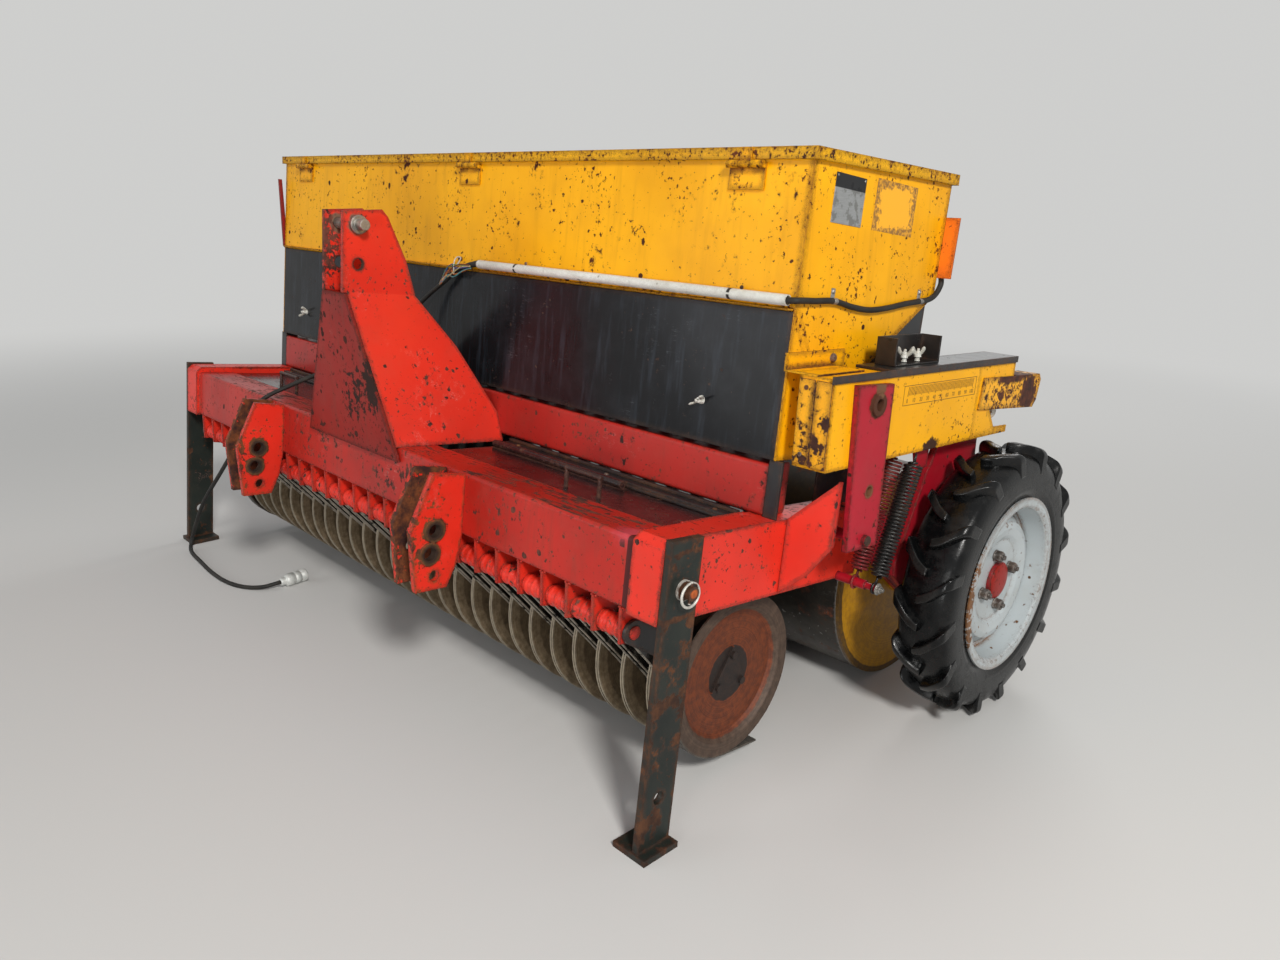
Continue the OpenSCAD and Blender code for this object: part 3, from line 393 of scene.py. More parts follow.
# %% Wear groups
def build_edge(g, i):
    """Edge wear: where a widely rounded normal leaves the true one, broken up by two noises."""
    wide = g.add("Bevel", {"Radius": g.times(i["Radius"], 5.0)}, samples=4)
    close = g.add("Bevel", {"Radius": i["Radius"]}, samples=4)
    flat = g.add("NewGeometry").outputs["Normal"]
    bend = g.minus(1.0, g.vec("DOT_PRODUCT", wide.outputs[0], flat))
    fine = g.noise(i["Vector"], 95.0, 4.0, 0.68)
    slow = g.noise(i["Vector"], 9.0, 2.0, 0.5)
    reach = g.math("MULTIPLY_ADD", bend, 1.3, g.weigh(fine, 1.6, slow, 0.5))
    low = g.minus(1.46, g.times(i["Amount"], 0.4))
    return {"Mask": g.step(reach, low, g.plus(low, 0.04)), "Normal": close.outputs[0]}


def build_chips(g, i):
    """Chips: islands of fine noise that come through only where a slow noise lets them, and dots at
    the middles of a few cells, whose size a chance number per cell gives."""
    amount = i["Amount"]
    fine = g.noise(i["Vector"], i["Scale"], 5.0, 0.62)
    slow = g.noise(i["Vector"], g.times(i["Scale"], 0.11), 2.0, 0.5)
    both = g.weigh(fine, 0.75, slow, 0.35)
    level = g.minus(0.79, g.times(amount, 0.25))
    patch = g.step(both, level, g.plus(level, 0.015))
    cells = g.add("TexVoronoi", {"Vector": i["Vector"], "Scale": g.times(i["Scale"], 0.8)})
    chance = g.add("SeparateColor", {0: cells.outputs["Color"]}).outputs[0]
    size = g.times(g.minus(chance, g.minus(0.97, g.times(amount, 0.4))), 1.6)
    ragged = g.math("MULTIPLY_ADD", g.minus(fine, 0.5), 0.7, cells.outputs["Distance"])
    dots = g.step(g.minus(size, ragged), 0.0, 0.03)
    return {"Mask": g.most(patch, dots), "Halo": g.step(both, g.minus(level, 0.05), g.plus(level, 0.01))}


group("Edge wear", {"Vector": V, "Radius": F, "Amount": F}, {"Mask": F, "Normal": V}, build_edge)
group("Chips", {"Vector": V, "Scale": F, "Amount": F}, {"Mask": F, "Halo": F}, build_chips)

# %% [markdown]
# ## Rust, scratches and placed stains
#
# Under the paint the steel is dark with orange bloom. Straw leaves long fine scratches, and a few
# stains sit at one place, such as the bright ring round a pin. Rust and scratches are noise, plain
# or stretched hard one way. A placed stain is a distance to a point, roughened by noise.

# %% Rust and stain groups
def build_rust(g, i):
    """Rust: dark iron and orange bloom mixed by two noises, with a pitted height."""
    a = g.noise(i["Vector"], 45.0, 6.0, 0.7)
    b = g.noise(i["Vector"], 9.0, 3.0, 0.6)
    return {"Color": g.mix(g.step(g.weigh(a, 0.6, b, 0.4), 0.38, 0.64), i["Dark"], i["Light"]), "Height": a}


def build_scratch(g, i):
    """Scratches: noise stretched hard along one direction, cut to its thin crests."""
    lines = []
    for turn, scale in (((0.5, 0.3, 0.4), (9, 260, 260)), ((-0.4, 1.1, -0.7), (7, 200, 200))):
        n = g.noise(g.stretch(i["Vector"], scale, turn), 1.0, 2.0, 0.5)
        lines.append(g.step(g.math("ABSOLUTE", g.minus(n, 0.5)), 0.008, 0.002))
    rare = g.step(g.noise(i["Vector"], 38.0, 3.0, 0.6), 0.52, 0.6)
    share = g.times(i["Amount"], 0.6)
    slow = g.step(g.noise(i["Vector"], 6.0, 2.0), g.minus(0.85, share), g.minus(0.95, share))
    return {"Mask": g.times(g.most(*lines), g.times(slow, rare))}


def build_spot(g, i):
    """Placed stain: full inside a radius of a point, fading out over an edge that noise roughens."""
    far = g.vec("LENGTH", g.vec("MULTIPLY", g.vec("SUBTRACT", i["Vector"], i["Centre"]), i["Squash"]))
    wave = g.times(g.minus(g.noise(i["Vector"], 60.0, 4.0, 0.65), 0.5), i["Ragged"])
    return {"Mask": g.step(g.plus(far, wave), g.plus(i["Radius"], i["Edge"]), g.minus(i["Radius"], i["Edge"]))}


group("Rust", {"Vector": V, "Dark": C, "Light": C}, {"Color": C, "Height": F}, build_rust)
group("Scratches", {"Vector": V, "Amount": F}, {"Mask": F}, build_scratch)
group("Spot", {"Vector": V, "Centre": V, "Squash": V, "Radius": F, "Edge": F, "Ragged": F}, {"Mask": F},
      build_spot)

# %% [markdown]
# ## Paint
#
# Most of the machine is sprayed red, yellow or black over steel. One flat colour would look like
# plastic, so a paint is built in the order in which it ages: slow fading, dust, runs, scratches,
# rust where it is chipped or rubbed, and stains at known places. On the hopper's cover the runs are
# bluish and draw a painted sheen, and one placed mark at the beam's end is a painted shadow. Every
# finish is one call with its own amounts. The values that are the same everywhere go on the shader's
# own sockets.

# %% Paint
RUST_DARK, RUST_LIGHT = "2e1710", "8a4520"


def start(name):
    """A new material with an empty tree: gives it, its graph and its Object coordinates."""
    mat = bpy.data.materials.new(name)
    mat.use_nodes = True
    mat.node_tree.nodes.clear()
    g = Graph(mat.node_tree)
    return mat, g, g.add("TexCoord").outputs["Object"]


def bump(g, height, strength, distance=0.001, **normal):
    """The normal that a Bump node makes of a height."""
    return g.add("Bump", {"Height": height, "Strength": strength, "Distance": distance, **normal}).outputs[0]


def shade(g, sockets):
    """Puts a Principled shader with these sockets on the material's output."""
    g.add("OutputMaterial", {0: g.add("BsdfPrincipled", sockets).outputs[0]})


def paint(name, base, faded, chip="2a1512", bare=RUST_LIGHT, chips=0.35, chip_scale=55.0, edge=0.35,
          scratch=0.3, scratch_color="d09a90", dust=0.06, dust_color="8c6a58", rough=0.36, coat=0.05,
          gloss=0.3, relief=0.25, streak=0.0, streak_color="5a3426", scuff=0.0, stains=()):
    """Layered paint. Each layer is a mask that mixes its own colour over what lies below it."""
    mat, g, vec = start(name)
    edge_node = g.use("Edge wear", Vector=vec, Radius=0.004, Amount=edge)
    chip_node = g.use("Chips", Vector=vec, Scale=chip_scale, Amount=chips)
    rust = g.use("Rust", Vector=vec, Dark=chip, Light=bare)
    rust_color = rust.outputs["Color"]
    scratches = g.use("Scratches", Vector=vec, Amount=scratch).outputs["Mask"]
    color = g.mix(g.step(g.noise(vec, 3.5, 3.0), 0.35, 0.7), base, faded)
    cloud = g.step(g.noise(vec, 14.0, 5.0, 0.7), 0.45, 0.75)
    color = g.mix(g.times(cloud, dust), color, dust_color)
    # Streaks are vertical runs; on the hopper's cover their bluish colour stands for a painted sheen.
    if streak:
        run = g.step(g.noise(g.stretch(vec, (55, 55, 2.2)), 1.0, 5.0, 0.6), 0.48, 0.75)
        color = g.mix(g.times(run, streak), color, streak_color)
    color = g.mix(g.times(scratches, 0.5), color, scratch_color)
    mask = g.most(chip_node.outputs["Mask"], edge_node.outputs["Mask"])
    color = g.mix(g.times(chip_node.outputs["Halo"], 0.35), color, rust_color)
    color = g.mix(mask, color, rust_color)
    if scuff:
        normal = g.add("TexCoord").outputs["Normal"]
        up = g.step(g.add("SeparateXYZ", {0: normal}).outputs[2], 0.9, 0.97)
        rub = g.weigh(g.noise(g.stretch(vec, (16, 90, 90)), 1.0, 4.0, 0.65), 0.7, g.noise(vec, 5.0, 2.0), 0.3)
        low = 0.66 - 0.2 * scuff
        mask = g.most(mask, g.times(up, g.step(rub, low, low + 0.03)))
        color = g.mix(mask, color, rust_color)
    roughness = g.mixf(g.noise(vec, 25.0, 4.0), rough - 0.08, rough + 0.14)
    roughness = g.mixf(mask, roughness, 0.82)
    for spot, stain_color, stain_rough in stains:
        inside = g.use("Spot", Vector=vec, **spot).outputs["Mask"]
        color = g.mix(inside, color, rust_color if stain_color == "rust" else stain_color)
        roughness = g.mixf(inside, roughness, stain_rough)
    height = g.minus(g.times(g.noise(vec, 160.0, 2.0), 0.15),
                     g.times(mask, g.minus(1.2, rust.outputs["Height"])))
    shade(g, {"Base Color": color, "Roughness": roughness, "Specular IOR Level": gloss,
              "Coat Weight": coat, "Coat Roughness": 0.12,
              "Normal": bump(g, height, relief, 0.0012, Normal=edge_node.outputs["Normal"])})
    return mat


print("rust colours", RUST_DARK, RUST_LIGHT)

# %% [markdown]
# ## Bare metal
#
# Springs, screws, nuts, the plug and the roller's shell show steel: oiled, polished by use, or
# rusting in patches. The same groups serve again, but here metallic falls to zero under the rust,
# because rust is an oxide that doesn't shine.

# %% Metal
def metal(name, dark, light, rust_amount=0.3, rough=0.42, metallic=0.85, edge=0.3, scratch=0.4,
          rust_dark=RUST_DARK, rust_light=RUST_LIGHT, relief=0.35, scale=30.0):
    """Bare or oiled steel: two greys mixed by noise, polished scratches, and rust in patches."""
    mat, g, vec = start(name)
    edge_node = g.use("Edge wear", Vector=vec, Radius=0.003, Amount=edge)
    rust = g.use("Rust", Vector=vec, Dark=rust_dark, Light=rust_light)
    scratches = g.use("Scratches", Vector=vec, Amount=scratch).outputs["Mask"]
    base = g.mix(g.step(g.noise(vec, scale, 5.0, 0.65), 0.35, 0.68), dark, light)
    shine = g.mix(0.5, light, (0.6, 0.58, 0.55, 1))
    base = g.mix(g.times(edge_node.outputs["Mask"], 0.7), base, shine)
    base = g.mix(g.times(scratches, 0.5), base, (0.5, 0.48, 0.45, 1))
    mask = g.step(g.noise(vec, 8.0, 6.0, 0.7), 0.80 - rust_amount * 0.6, 0.90 - rust_amount * 0.55)
    clean = g.mixf(g.noise(vec, 40.0, 4.0), rough - 0.1, rough + 0.15)
    height = g.weigh(rust.outputs["Height"], g.math("MULTIPLY_ADD", mask, 0.9, 0.1), scratches, -0.3)
    shade(g, {"Base Color": g.mix(mask, base, rust.outputs["Color"]), "Roughness": g.mixf(mask, clean, 0.88),
              "Metallic": g.mixf(mask, metallic, 0.0),
              "Normal": bump(g, height, relief, 0.0015, Normal=edge_node.outputs["Normal"])})
    return mat


M = {
    "steel": metal("worn_steel", "6b6862", "a29d94", 0.35),
    "oiled": metal("dark_steel", "33291f", "5e5040", 0.3, rough=0.34, metallic=0.6, edge=0.85),
    "screw": metal("screw_steel", "3c2a20", "6a5444", 0.7, rough=0.6, metallic=0.3, edge=0.2,
                   rust_dark="2e1a10", rust_light="6e4526"),
    "nut": metal("nut_steel", "2c2420", "5a4c42", 0.45, rough=0.45, metallic=0.5),
    "plug": metal("plug_metal", "b2b4b0", "d2d3cf", 0.06, rough=0.5, metallic=0.3, edge=0.1),
    "drum": metal("drum_steel", "2d2a26", "3a352e", 0.42, metallic=0.4, scale=24.0, relief=0.2),
    "coil": metal("coil_steel", "141313", "2c2a28", 0.12, rough=0.3, metallic=0.5, edge=-4.0, scratch=0.0),
}
print("metals", list(M))

# %% [markdown]
# ## Stains at known places
#
# The photograph shows rust rings round the lugs' holes, bare rings under the pins, chips on the
# mast's closing plate, rusty bands on the legs, a faded patch on the beam's end, and a painted shadow:
# a dark band down the beam's front where the proud end piece casts its shadow. Noise can't put them
# there, so each is a spot with its place in machine millimetres. A squash above 1 along an axis
# makes it short that way, and 0 makes it endless.

# %% Stains
def stain(point, radius, color="rust", squash=(1.0, 1.0, 1.0), edge=0.004, ragged=0.03, rough=0.8):
    """One placed mark, a stain or at the beam's end a painted shadow: the Spot group's inputs, the mark's colour
    and its roughness.
    """
    spot = {"Centre": row(point), "Squash": squash, "Radius": radius, "Edge": edge, "Ragged": ragged}
    return spot, color, rough


SIDE, BAND = (0.0, 1.0, 1.0), (0.0, 0.0, 1.0)
OLD_BLACK, OLD_BROWN = "2b1a16", "3a241a"
hole_rings = []
for y, z in ((-70.5, 464), (-79, 414)):
    hole_rings += [stain([0, y, z], 0.027, "rust", SIDE, 0.002, 0.05, 0.75),
                   stain([0, y, z], 0.026, "54391f", SIDE, 0.002, 0.012, 0.75),
                   stain([0, y, z], 0.021, "2c1d13", SIDE, 0.004, 0.014, 0.8)]
for x in (-462, 408):
    hole_rings.append(stain([x, -60, 470], 0.0115, "rust", (1.0, 0.06, 0.05), 0.0015, 0.05))
for x in (-462, -408, 408, 462):
    hole_rings.append(stain([x, -118, 470], 0.006, "rust", (0.3, 0.8, 0.1), 0.0015, 0.06))
pin_rings = [stain([0, -39, 1075], 0.024, "6b5140", SIDE, 0.004, 0.02, 0.7),
             stain([0, -33, 986], 0.0155, OLD_BROWN, SIDE, 0.003, 0.006, 0.75),
             stain([50, -8, 891], 0.011, "d8cfc6", (1.0, 0.5, 1.5), 0.002, 0.02, 0.5),
             stain([-45, -75, 1030], 0.014, "rust", (0.9, 0.5, 0.17), 0.002, 0.09),
             stain([60, -85, 1120], 0.014, "rust", (0.5, 0.5, 1.0), 0.002, 0.09)]
for y, z in ((296, 626), (322, 614), (350, 602), (210, 700)):
    pin_rings.append(stain([50, y, z], 0.0022, "e0d0c8", (1.0, 0.22, 1.0), 0.0008, 0.012, 0.5))
patches = [stain([65, -60, 680], 0.020, OLD_BLACK, (0.6, 0.5, 0.35), 0.004, 0.10, 0.75),
           stain([20, -60, 640], 0.016, OLD_BLACK, (0.6, 0.5, 0.35), 0.004, 0.10, 0.75),
           stain([130, -35, 720], 0.018, OLD_BLACK, (0.6, 0.5, 0.3), 0.004, 0.09, 0.75),
           stain([78, -50, 600], 0.0035, OLD_BLACK, (1.0, 0.4, 0.06), 0.001, 0.006, 0.75)]
beam_fade_and_shadow = [stain([972, 24, 588], 0.030, "b8404a", (1.0, 1.0, 1.0), 0.022, 0.05, 0.5),
              # The second mark is a painted shadow: a crisp dark band down the beam's front, beside the proud
              # end piece.
              stain([985, 0, 520], 0.0075, "4a0d0b", (1.0, 0.3, 0.0), 0.001, 0.0, 0.5)]
bracket_rust = [stain([1170, 1112, 850], 0.042, "rust", SIDE, 0.006, 0.07),
                stain([1170, 1030, 893], 0.020, "rust", (0.0, 0.2, 1.0), 0.003)]
housing_rust = [stain([1165, 681, 740], 0.017, OLD_BROWN, (1.0, 0.55, 1.0), 0.003, rough=0.75),
                stain([1165, 1000, 745], 0.014, OLD_BROWN, (1.0, 0.8, 1.0), 0.003, rough=0.75)]
link_marks = [stain([1177, 426, 838], 0.027, "4a2c1e", SIDE, 0.004, 0.02),
              stain([1177, 430, 866], 0.014, "6a4a34", (0.0, 0.8, 1.0), 0.003),
              stain([1177, 444, 668], 0.0135, "6a4630", SIDE, 0.002, 0.008)]
leg_bands = [stain([0, 32, 459], 0.0055, "rust", BAND, 0.0015, 0.02),
             stain([0, 32, 578], 0.0035, "rust", BAND, 0.0015)]
rim_specks = [stain([1270, 770, 400], 0.019, "rust", (1.0, 1.0, 0.25), 0.0015, 0.24)]
print("stains on the lugs", len(hole_rings), "on the mast", len(pin_rings))

# %% [markdown]
# ## Reds and yellows
#
# The reds differ from part to part: the mast is bright, the beam is darker and more worn, and the
# closing plate is more worn and darker still, its base set low as painted shade for a face turned
# away from the light. The wheel arm and link plate were sprayed another, bluer red. The yellow is
# almost the same everywhere, but the end bracket and the panels are half bare. Shared amounts stand
# once at the top, and each call gives only what is its own.

# %% Bright paints
def paints(table, **shared):
    """Adds one paint for each row of a table: key -> (name, base, faded, the row's own amounts)."""
    for key, (name, base, faded, own) in table.items():
        M[key] = paint(name, base, faded, **{**shared, **own})


paints({
    "red": ("red_paint", "d22c1c", "bb2416", {"edge": 0.36}),
    "red_mast": ("red_paint_mast", "d42d1c", "bf2617",
                 {"chips": 0.46, "edge": 0.46, "scratch": 0.62, "scratch_color": "e0b8ae", "stains": pin_rings}),
    "red_beam": ("red_paint_beam", "b22318", "981b12",
                 {"chips": 0.5, "dust": 0.08, "streak": 0.3, "scuff": 0.55, "stains": beam_fade_and_shadow}),
    "red_side": ("red_paint_side", "d62e1e", "c62818", {"scratch_color": "e0b8ae", "scuff": 0.4}),
    "red_rail": ("red_paint_rail", "ac241c", "981c16", {"streak": 0.2, "coat": 0.1}),
    "red_lug": ("red_paint_lugs", "d62c1c", "c02617", {"bare": "74401f", "edge": 0.46, "stains": hole_rings}),
    # The closing plate's red is darker than the other reds: painted shade, as the plate faces away from the
    # light.
    "red_front_shaded": ("red_paint_front_shaded", "8c1c14", "761610",
                  {"bare": "4a241c", "chips": 0.55, "edge": 0.45, "scratch": 0.4, "stains": patches,
                   "streak": 0.35, "gloss": 0.15}),
}, bare="6a3a2c", chips=0.42, edge=0.5, scratch=0.5)
paints({
    "crimson": ("crimson_paint", "a01222", "880e1c", {"coat": 0.12, "rough": 0.3}),
    "crimson_link": ("crimson_paint_link", "a81a2a", "941424",
                     {"chips": 0.38, "edge": 0.4, "scratch": 0.35, "rough": 0.33, "gloss": 0.18,
                      "stains": link_marks}),
}, bare="5e2c22", chips=0.34, edge=0.34)
paints({
    "yellow": ("yellow_paint", "eda908", "dd9a06",
               {"edge": 0.5, "scratch_color": "c58a18", "dust": 0.08, "dust_color": "b98a1c",
                "streak": 0.22, "gloss": 0.15, "streak_color": "a8740a"}),
    "yellow_lid": ("yellow_paint_lid", "edb00a", "dfa206",
                   {"edge": 0.72, "scratch_color": "c58a18", "dust": 0.2, "dust_color": "a87c20",
                    "gloss": 0.2}),
}, bare="5a2a10", chips=0.36, chip_scale=42.0, scratch=0.25)
paints({
    "yellow_bracket": ("yellow_paint_bracket", "eda908", "dd9a06",
                       {"chips": 0.5, "edge": 0.85, "stains": bracket_rust}),
    "yellow_housing": ("yellow_paint_housing", "eda908", "e2a008",
                       {"chips": 0.34, "edge": 0.5, "gloss": 0.15, "stains": housing_rust}),
    "yellow_worn": ("yellow_paint_worn", "e8a408", "d89606", {"bare": "4a2818", "chips": 0.66, "edge": 0.7}),
}, chip="2c1712", bare="5a2f1c", chip_scale=42.0, scratch=0.25)
paints({"orange": ("orange_paint", "ee801c", "e06c18", {})},
       bare="6a3312", chips=0.34, chip_scale=40.0, edge=0.36)
print("bright paints ready,", len(M), "materials so far")

# %% [markdown]
# ## Blacks, greys and plastic
#
# Black paint is never black: it mirrors the room and shows dust and pale scratches, so those two
# layers carry the look. On the hopper's cover, bluish streaks add a painted sheen. The legs are dull
# and chipped to the rust, the rim is a cold grey, and the conduit, the knob and the wing nuts are
# white plastic.

# %% Dark paints
paints({
    "black": ("black_paint", "17181a", "1f2022",
              {"bare": "5a3a26", "edge": 0.12, "scratch_color": "5c6066", "dust": 0.12,
               "dust_color": "4a4744", "rough": 0.28, "coat": 0.15}),
    "box": ("black_paint_box", "151515", "1e1c1b",
            {"bare": "5a3a26", "chips": 0.42, "edge": -4.0, "scratch": 0.4, "scratch_color": "5c6066",
             "rough": 0.28}),
    # The cover's bluish streaks are a painted sheen, not runs of dirt.
    "cover": ("black_paint_cover_sheen", "141517", "1c1d20",
              {"bare": "4a3a30", "chips": 0.22, "edge": 0.25, "scratch": 0.5, "scratch_color": "6d7278",
               "dust": 0.1, "gloss": 0.12, "dust_color": "44474c", "rough": 0.2, "coat": 0.1,
               "streak": 0.5, "streak_color": "343a42"}),
    "deck": ("black_paint_deck", "1d1112", "26181a",
             {"chip": "3a1f1a", "bare": "5a3a2c", "chips": 0.36, "edge": 0.45, "scratch": 0.5,
              "scratch_color": "7d6a66", "dust": 0.25, "dust_color": "5e4a42", "rough": 0.22,
              "coat": 0.2}),
    "leg": ("leg_paint", "171c19", "212723",
            {"chip": "2e1c13", "bare": "5a3822", "chips": 0.58, "chip_scale": 26.0, "edge": 0.42,
             "scratch": 0.4, "dust": 0.15, "dust_color": "4b4438", "rough": 0.42, "coat": 0.0,
             "relief": 0.4, "stains": leg_bands}),
}, chip="2a1e1a", chips=0.3, scratch=0.45)
paints({
    "rim": ("rim_paint", "a9b0b2", "9ba2a4",
            {"chip": "4a3422", "bare": "7a5230", "chips": 0.33, "chip_scale": 60.0, "edge": 0.2,
             "scratch_color": "8f8f8c", "dust": 0.2, "dust_color": "9a9488", "rough": 0.3, "coat": 0.2,
             "stains": rim_specks}),
    "white": ("white_plastic", "dcdcd6", "cfcfc8",
              {"chip": "8d8a80", "bare": "9b968a", "edge": 0.1, "scratch": 0.4,
               "scratch_color": "9c9a92", "dust_color": "a39d8e", "rough": 0.45, "coat": 0.1}),
    "rubber": ("black_rubber", "151515", "1c1c1b",
               {"chip": "26221e", "bare": "3a342c", "edge": 0.05, "scratch_color": "3c3c3a",
                "dust_color": "4a4640", "rough": 0.55, "coat": 0.0}),
}, chips=0.2, scratch=0.3, dust=0.3)
M["ink"] = paint("ink", "3a2a10", "5a4014", chips=0.3, edge=0.0, scratch=0.2, rough=0.5, coat=0.2)
print("materials", len(M))

# %% [markdown]
# ## Materials that follow a part's own shape
#
# A disc is polished at its rim by the soil, rusty further in and oily at its hub, and a leg pin shows
# rust inside a bright ring. These zones are circles about an axle. They could be UV stripes, but the
# CAD nodes have no UVs, so the mask is made of the distance from the axle in Object coordinates.

# %% Shaped materials
def turned(name, centre, zones, rough=0.5, metallic=0.2, grain=300.0, relief=0.3, coat=0.0):
    """Colour by distance from an X axis through centre: zones is a list of (radius, dark, light), each
    pair taking over from its radius outwards. Fine rings come from noise stretched round the axle."""
    mat, g, vec = start(name)
    radius = g.vec("LENGTH", g.vec("MULTIPLY", g.vec("SUBTRACT", vec, row(centre)), SIDE))
    ragged = g.math("MULTIPLY_ADD", g.minus(g.noise(vec, 60.0, 4.0, 0.65), 0.5), 0.008, radius)
    rings = g.noise(g.add("CombineXYZ", {0: radius}).outputs[0], grain, 3.0)
    fine = g.noise(vec, 70.0, 6.0, 0.7)
    blend = g.step(g.weigh(rings, 0.4, fine, 0.6), 0.36, 0.66)
    color = g.mix(blend, zones[0][1], zones[0][2])
    for r, dark, light in zones[1:]:
        color = g.mix(g.step(ragged, r - 0.0015, r + 0.0015), color, g.mix(blend, dark, light))
    shade(g, {"Base Color": color, "Roughness": g.mixf(fine, rough - 0.12, rough + 0.15),
              "Metallic": metallic, "Coat Weight": coat,
              "Normal": bump(g, g.weigh(rings, 0.4, fine, 0.8), relief)})
    return mat


HUB = (313, 252)
M["end_disc"] = turned("end_disc_rust", [0, *HUB],
                       [(0, "1c1614", "30231d"), (0.060, "4e2412", "76391a"), (0.139, "3c2e25", "5a483b"),
                        (0.1755, "3a3632", "5a544c")], rough=0.62)
M["disc"] = turned("disc_steel", [0, *HUB],
                   [(0, "1c1813", "2c261e"), (0.118, "463a2c", "6c5c46"), (0.150, "5e503c", "8a7860"),
                    (0.1722, "7a6f60", "a2967f")], rough=0.38, metallic=0.15, grain=420.0, relief=0.12)
M["pin"] = turned("pin_rust", [0, 32, 511],
                  [(0, "8a3c14", "c0622a"), (0.0085, "3a2418", "5a3a26"), (0.0185, "a9a69e", "cfccc4")],
                  metallic=0.3)
# The roller end's yellow is set far darker than the yellow paint elsewhere: painted shade.
M["drum_end_shaded"] = turned("roller_end_paint_shaded", [0, 975, 369.3],
                       [(0, "3a2c18", "6a5018"), (0.03, "946606", "ba860a"), (0.255, "3a2814", "6a4c12")],
                       metallic=0.0, coat=0.1)
print("turned materials", [k for k in ("end_disc", "disc", "pin", "drum_end_shaded") if k in M])

# %% [markdown]
# ## Arm steel
#
# The coulter arms are black bars whose edges the soil has rubbed bright. The Bevel node would find
# those edges, but it costs time on fifty-two thin bars. All of them lie along one line in side view,
# so the distance from that line says where an edge is.

# %% Arms
PIVOT, BAR_SLOPE = (30.0, 396.0), math.radians(43.5)
BAR_WAY = np.array([math.cos(BAR_SLOPE), -math.sin(BAR_SLOPE)])


def arm_material(name, end, half, grow):
    """Black, oiled bars from the pivot to end: off is the distance from the bars' middle line, and
    where it comes within 3 mm of half the bar's width, half + grow * along, the colour turns bright."""
    mat, g, vec = start(name)
    pivot = row([0, *PIVOT])
    way = unit(row([0, *end]) - pivot)
    local = g.vec("SUBTRACT", vec, pivot)
    along = g.vec("DOT_PRODUCT", local, way)
    off = g.math("ABSOLUTE", g.vec("DOT_PRODUCT", local, (0.0, -way[2], way[1])))
    gap = g.minus(g.math("MULTIPLY_ADD", along, grow, half), off)
    edge = g.times(g.step(gap, 0.0040, 0.0018), g.step(g.noise(vec, 38.0, 4.0, 0.6), 0.32, 0.52))
    grain = g.noise(g.stretch(vec, (120, 12, 12)), 1.0, 4.0, 0.6)
    color = g.mix(g.step(grain, 0.35, 0.7), "0f0f0f", "2a2825")
    shade(g, {"Base Color": g.mix(edge, color, "a39a8c"), "Roughness": g.mixf(edge, 0.2, 0.4),
              "Metallic": 0.35, "Coat Weight": 0.3, "Normal": bump(g, g.noise(vec, 90.0, 3.0), 0.15)})
    return mat


M["arm"] = arm_material("arm_steel", HUB, 0.013, 0.003 / 0.3175)
M["bar"] = arm_material("bar_steel", np.array(PIVOT) + 200 * BAR_WAY, 0.0115, 0.0)
print("bars slope", round(math.degrees(BAR_SLOPE), 1), "degrees")

# %% [markdown]
# ## Materials on the CAD nodes
#
# The CAD gives the large forms with plain colours. Their meshes are never changed, only the
# materials in their slots, so the look and the collision model stay one shape. The table lists the
# nodes under each finish, and the print shows that none was forgotten.

# %% Assign
FINISHES = {
    "red": "gusset coulter_tube coulter_bushes", "red_beam": "front_beam", "red_side": "side_members",
    "red_rail": "rear_rail", "red_mast": "headstock_plates", "red_front_shaded": "headstock_front",
    "red_lug": "hitch_lugs", "crimson": "side_bracket spring_mounts wheel_arm hub roller_arms",
    "crimson_link": "link_plate", "orange": "marker_plate", "yellow": "hopper_shell lid_hinges lid_straps",
    "yellow_lid": "lid", "yellow_housing": "drive_housing", "yellow_bracket": "end_bracket",
    "black": "hopper_feet metering_box housing_cover end_arms", "box": "adjuster_box",
    "cover": "hopper_cover", "deck": "deck_covers", "leg": "leg_left leg_right",
    "pin": "leg_pin_left leg_pin_right", "rim": "rim", "white": "conduit scale_knob",
    "rubber": "seed_tubes tyre side_cable cord", "steel": "top_link_pin", "oiled": "springs",
    "drum": "roller_drum", "drum_end_shaded": "roller_ends", "arm": "coulter_arms", "disc": "coulter_discs",
    "end_disc": "end_discs", "plug": "cord_plug",
}
bare_nodes = set(nodes)
for key, names in FINISHES.items():
    for name in names.split():
        materials = nodes[name].data.materials
        for k in range(len(materials)):
            materials[k] = M[key]
        if not len(materials):
            materials.append(M[key])
        bare_nodes.remove(name)
print("nodes without a material:", sorted(bare_nodes))

# %% [markdown]
# ## Tyre
#
# The drive wheel has a farm tyre with two rows of deep bars that run into the shoulders. An Array
# modifier with a bent bar is the usual way. Here the carcass is a section turned about the axle, and
# each bar follows a path over the crown and down the shoulder with a cross-section square to the
# carcass at every station, because that gives the true lean of the bar's sides.

# %% Tyre shape
WHEEL = np.array([1212.0, 968.0, 420.9])
TYRE_R, HALF_W, BARS = 322.0, 64.0, 16


def wheel_point(across, angle, radius):
    """Machine mm of a point at an angle about the axle: (y, z) = centre + radius (cos a, sin a)."""
    across, angle, radius = np.broadcast_arrays(across, angle, radius)
    return WHEEL + np.stack([across, radius * np.cos(angle), radius * np.sin(angle)], axis=-1)


def carcass(turns=120):
    """Section points (radius, half width) smoothed, mirrored, and turned through a full circle. Two
    shallow ribs on each sidewall are narrow bell curves added to the width."""
    section = [[187, 57.5], [206, 57.5], [212, 58.5], [222, 61.5], [238, 62.9], [258, 63.2], [274, 61.6],
               [287, 57.5], [295, 50], [300, 38], [302.6, 20], [303.4, 0]]
    fine = spline(section, 4)
    ribs = sum(0.7 * np.exp(-((fine[:, 0] - r) / 1.6) ** 2) for r in (226, 236))
    fine[:, 1] = np.minimum(fine[:, 1] + ribs, HALF_W - 0.1)
    whole = np.vstack([fine, fine[-2::-1] * [1, -1]])
    pts = wheel_point(whole[:, 1:], angles(turns), whole[:, :1])
    return row(pts.reshape(-1, 3)), grid_faces(len(whole), turns, wrap_cols=True)


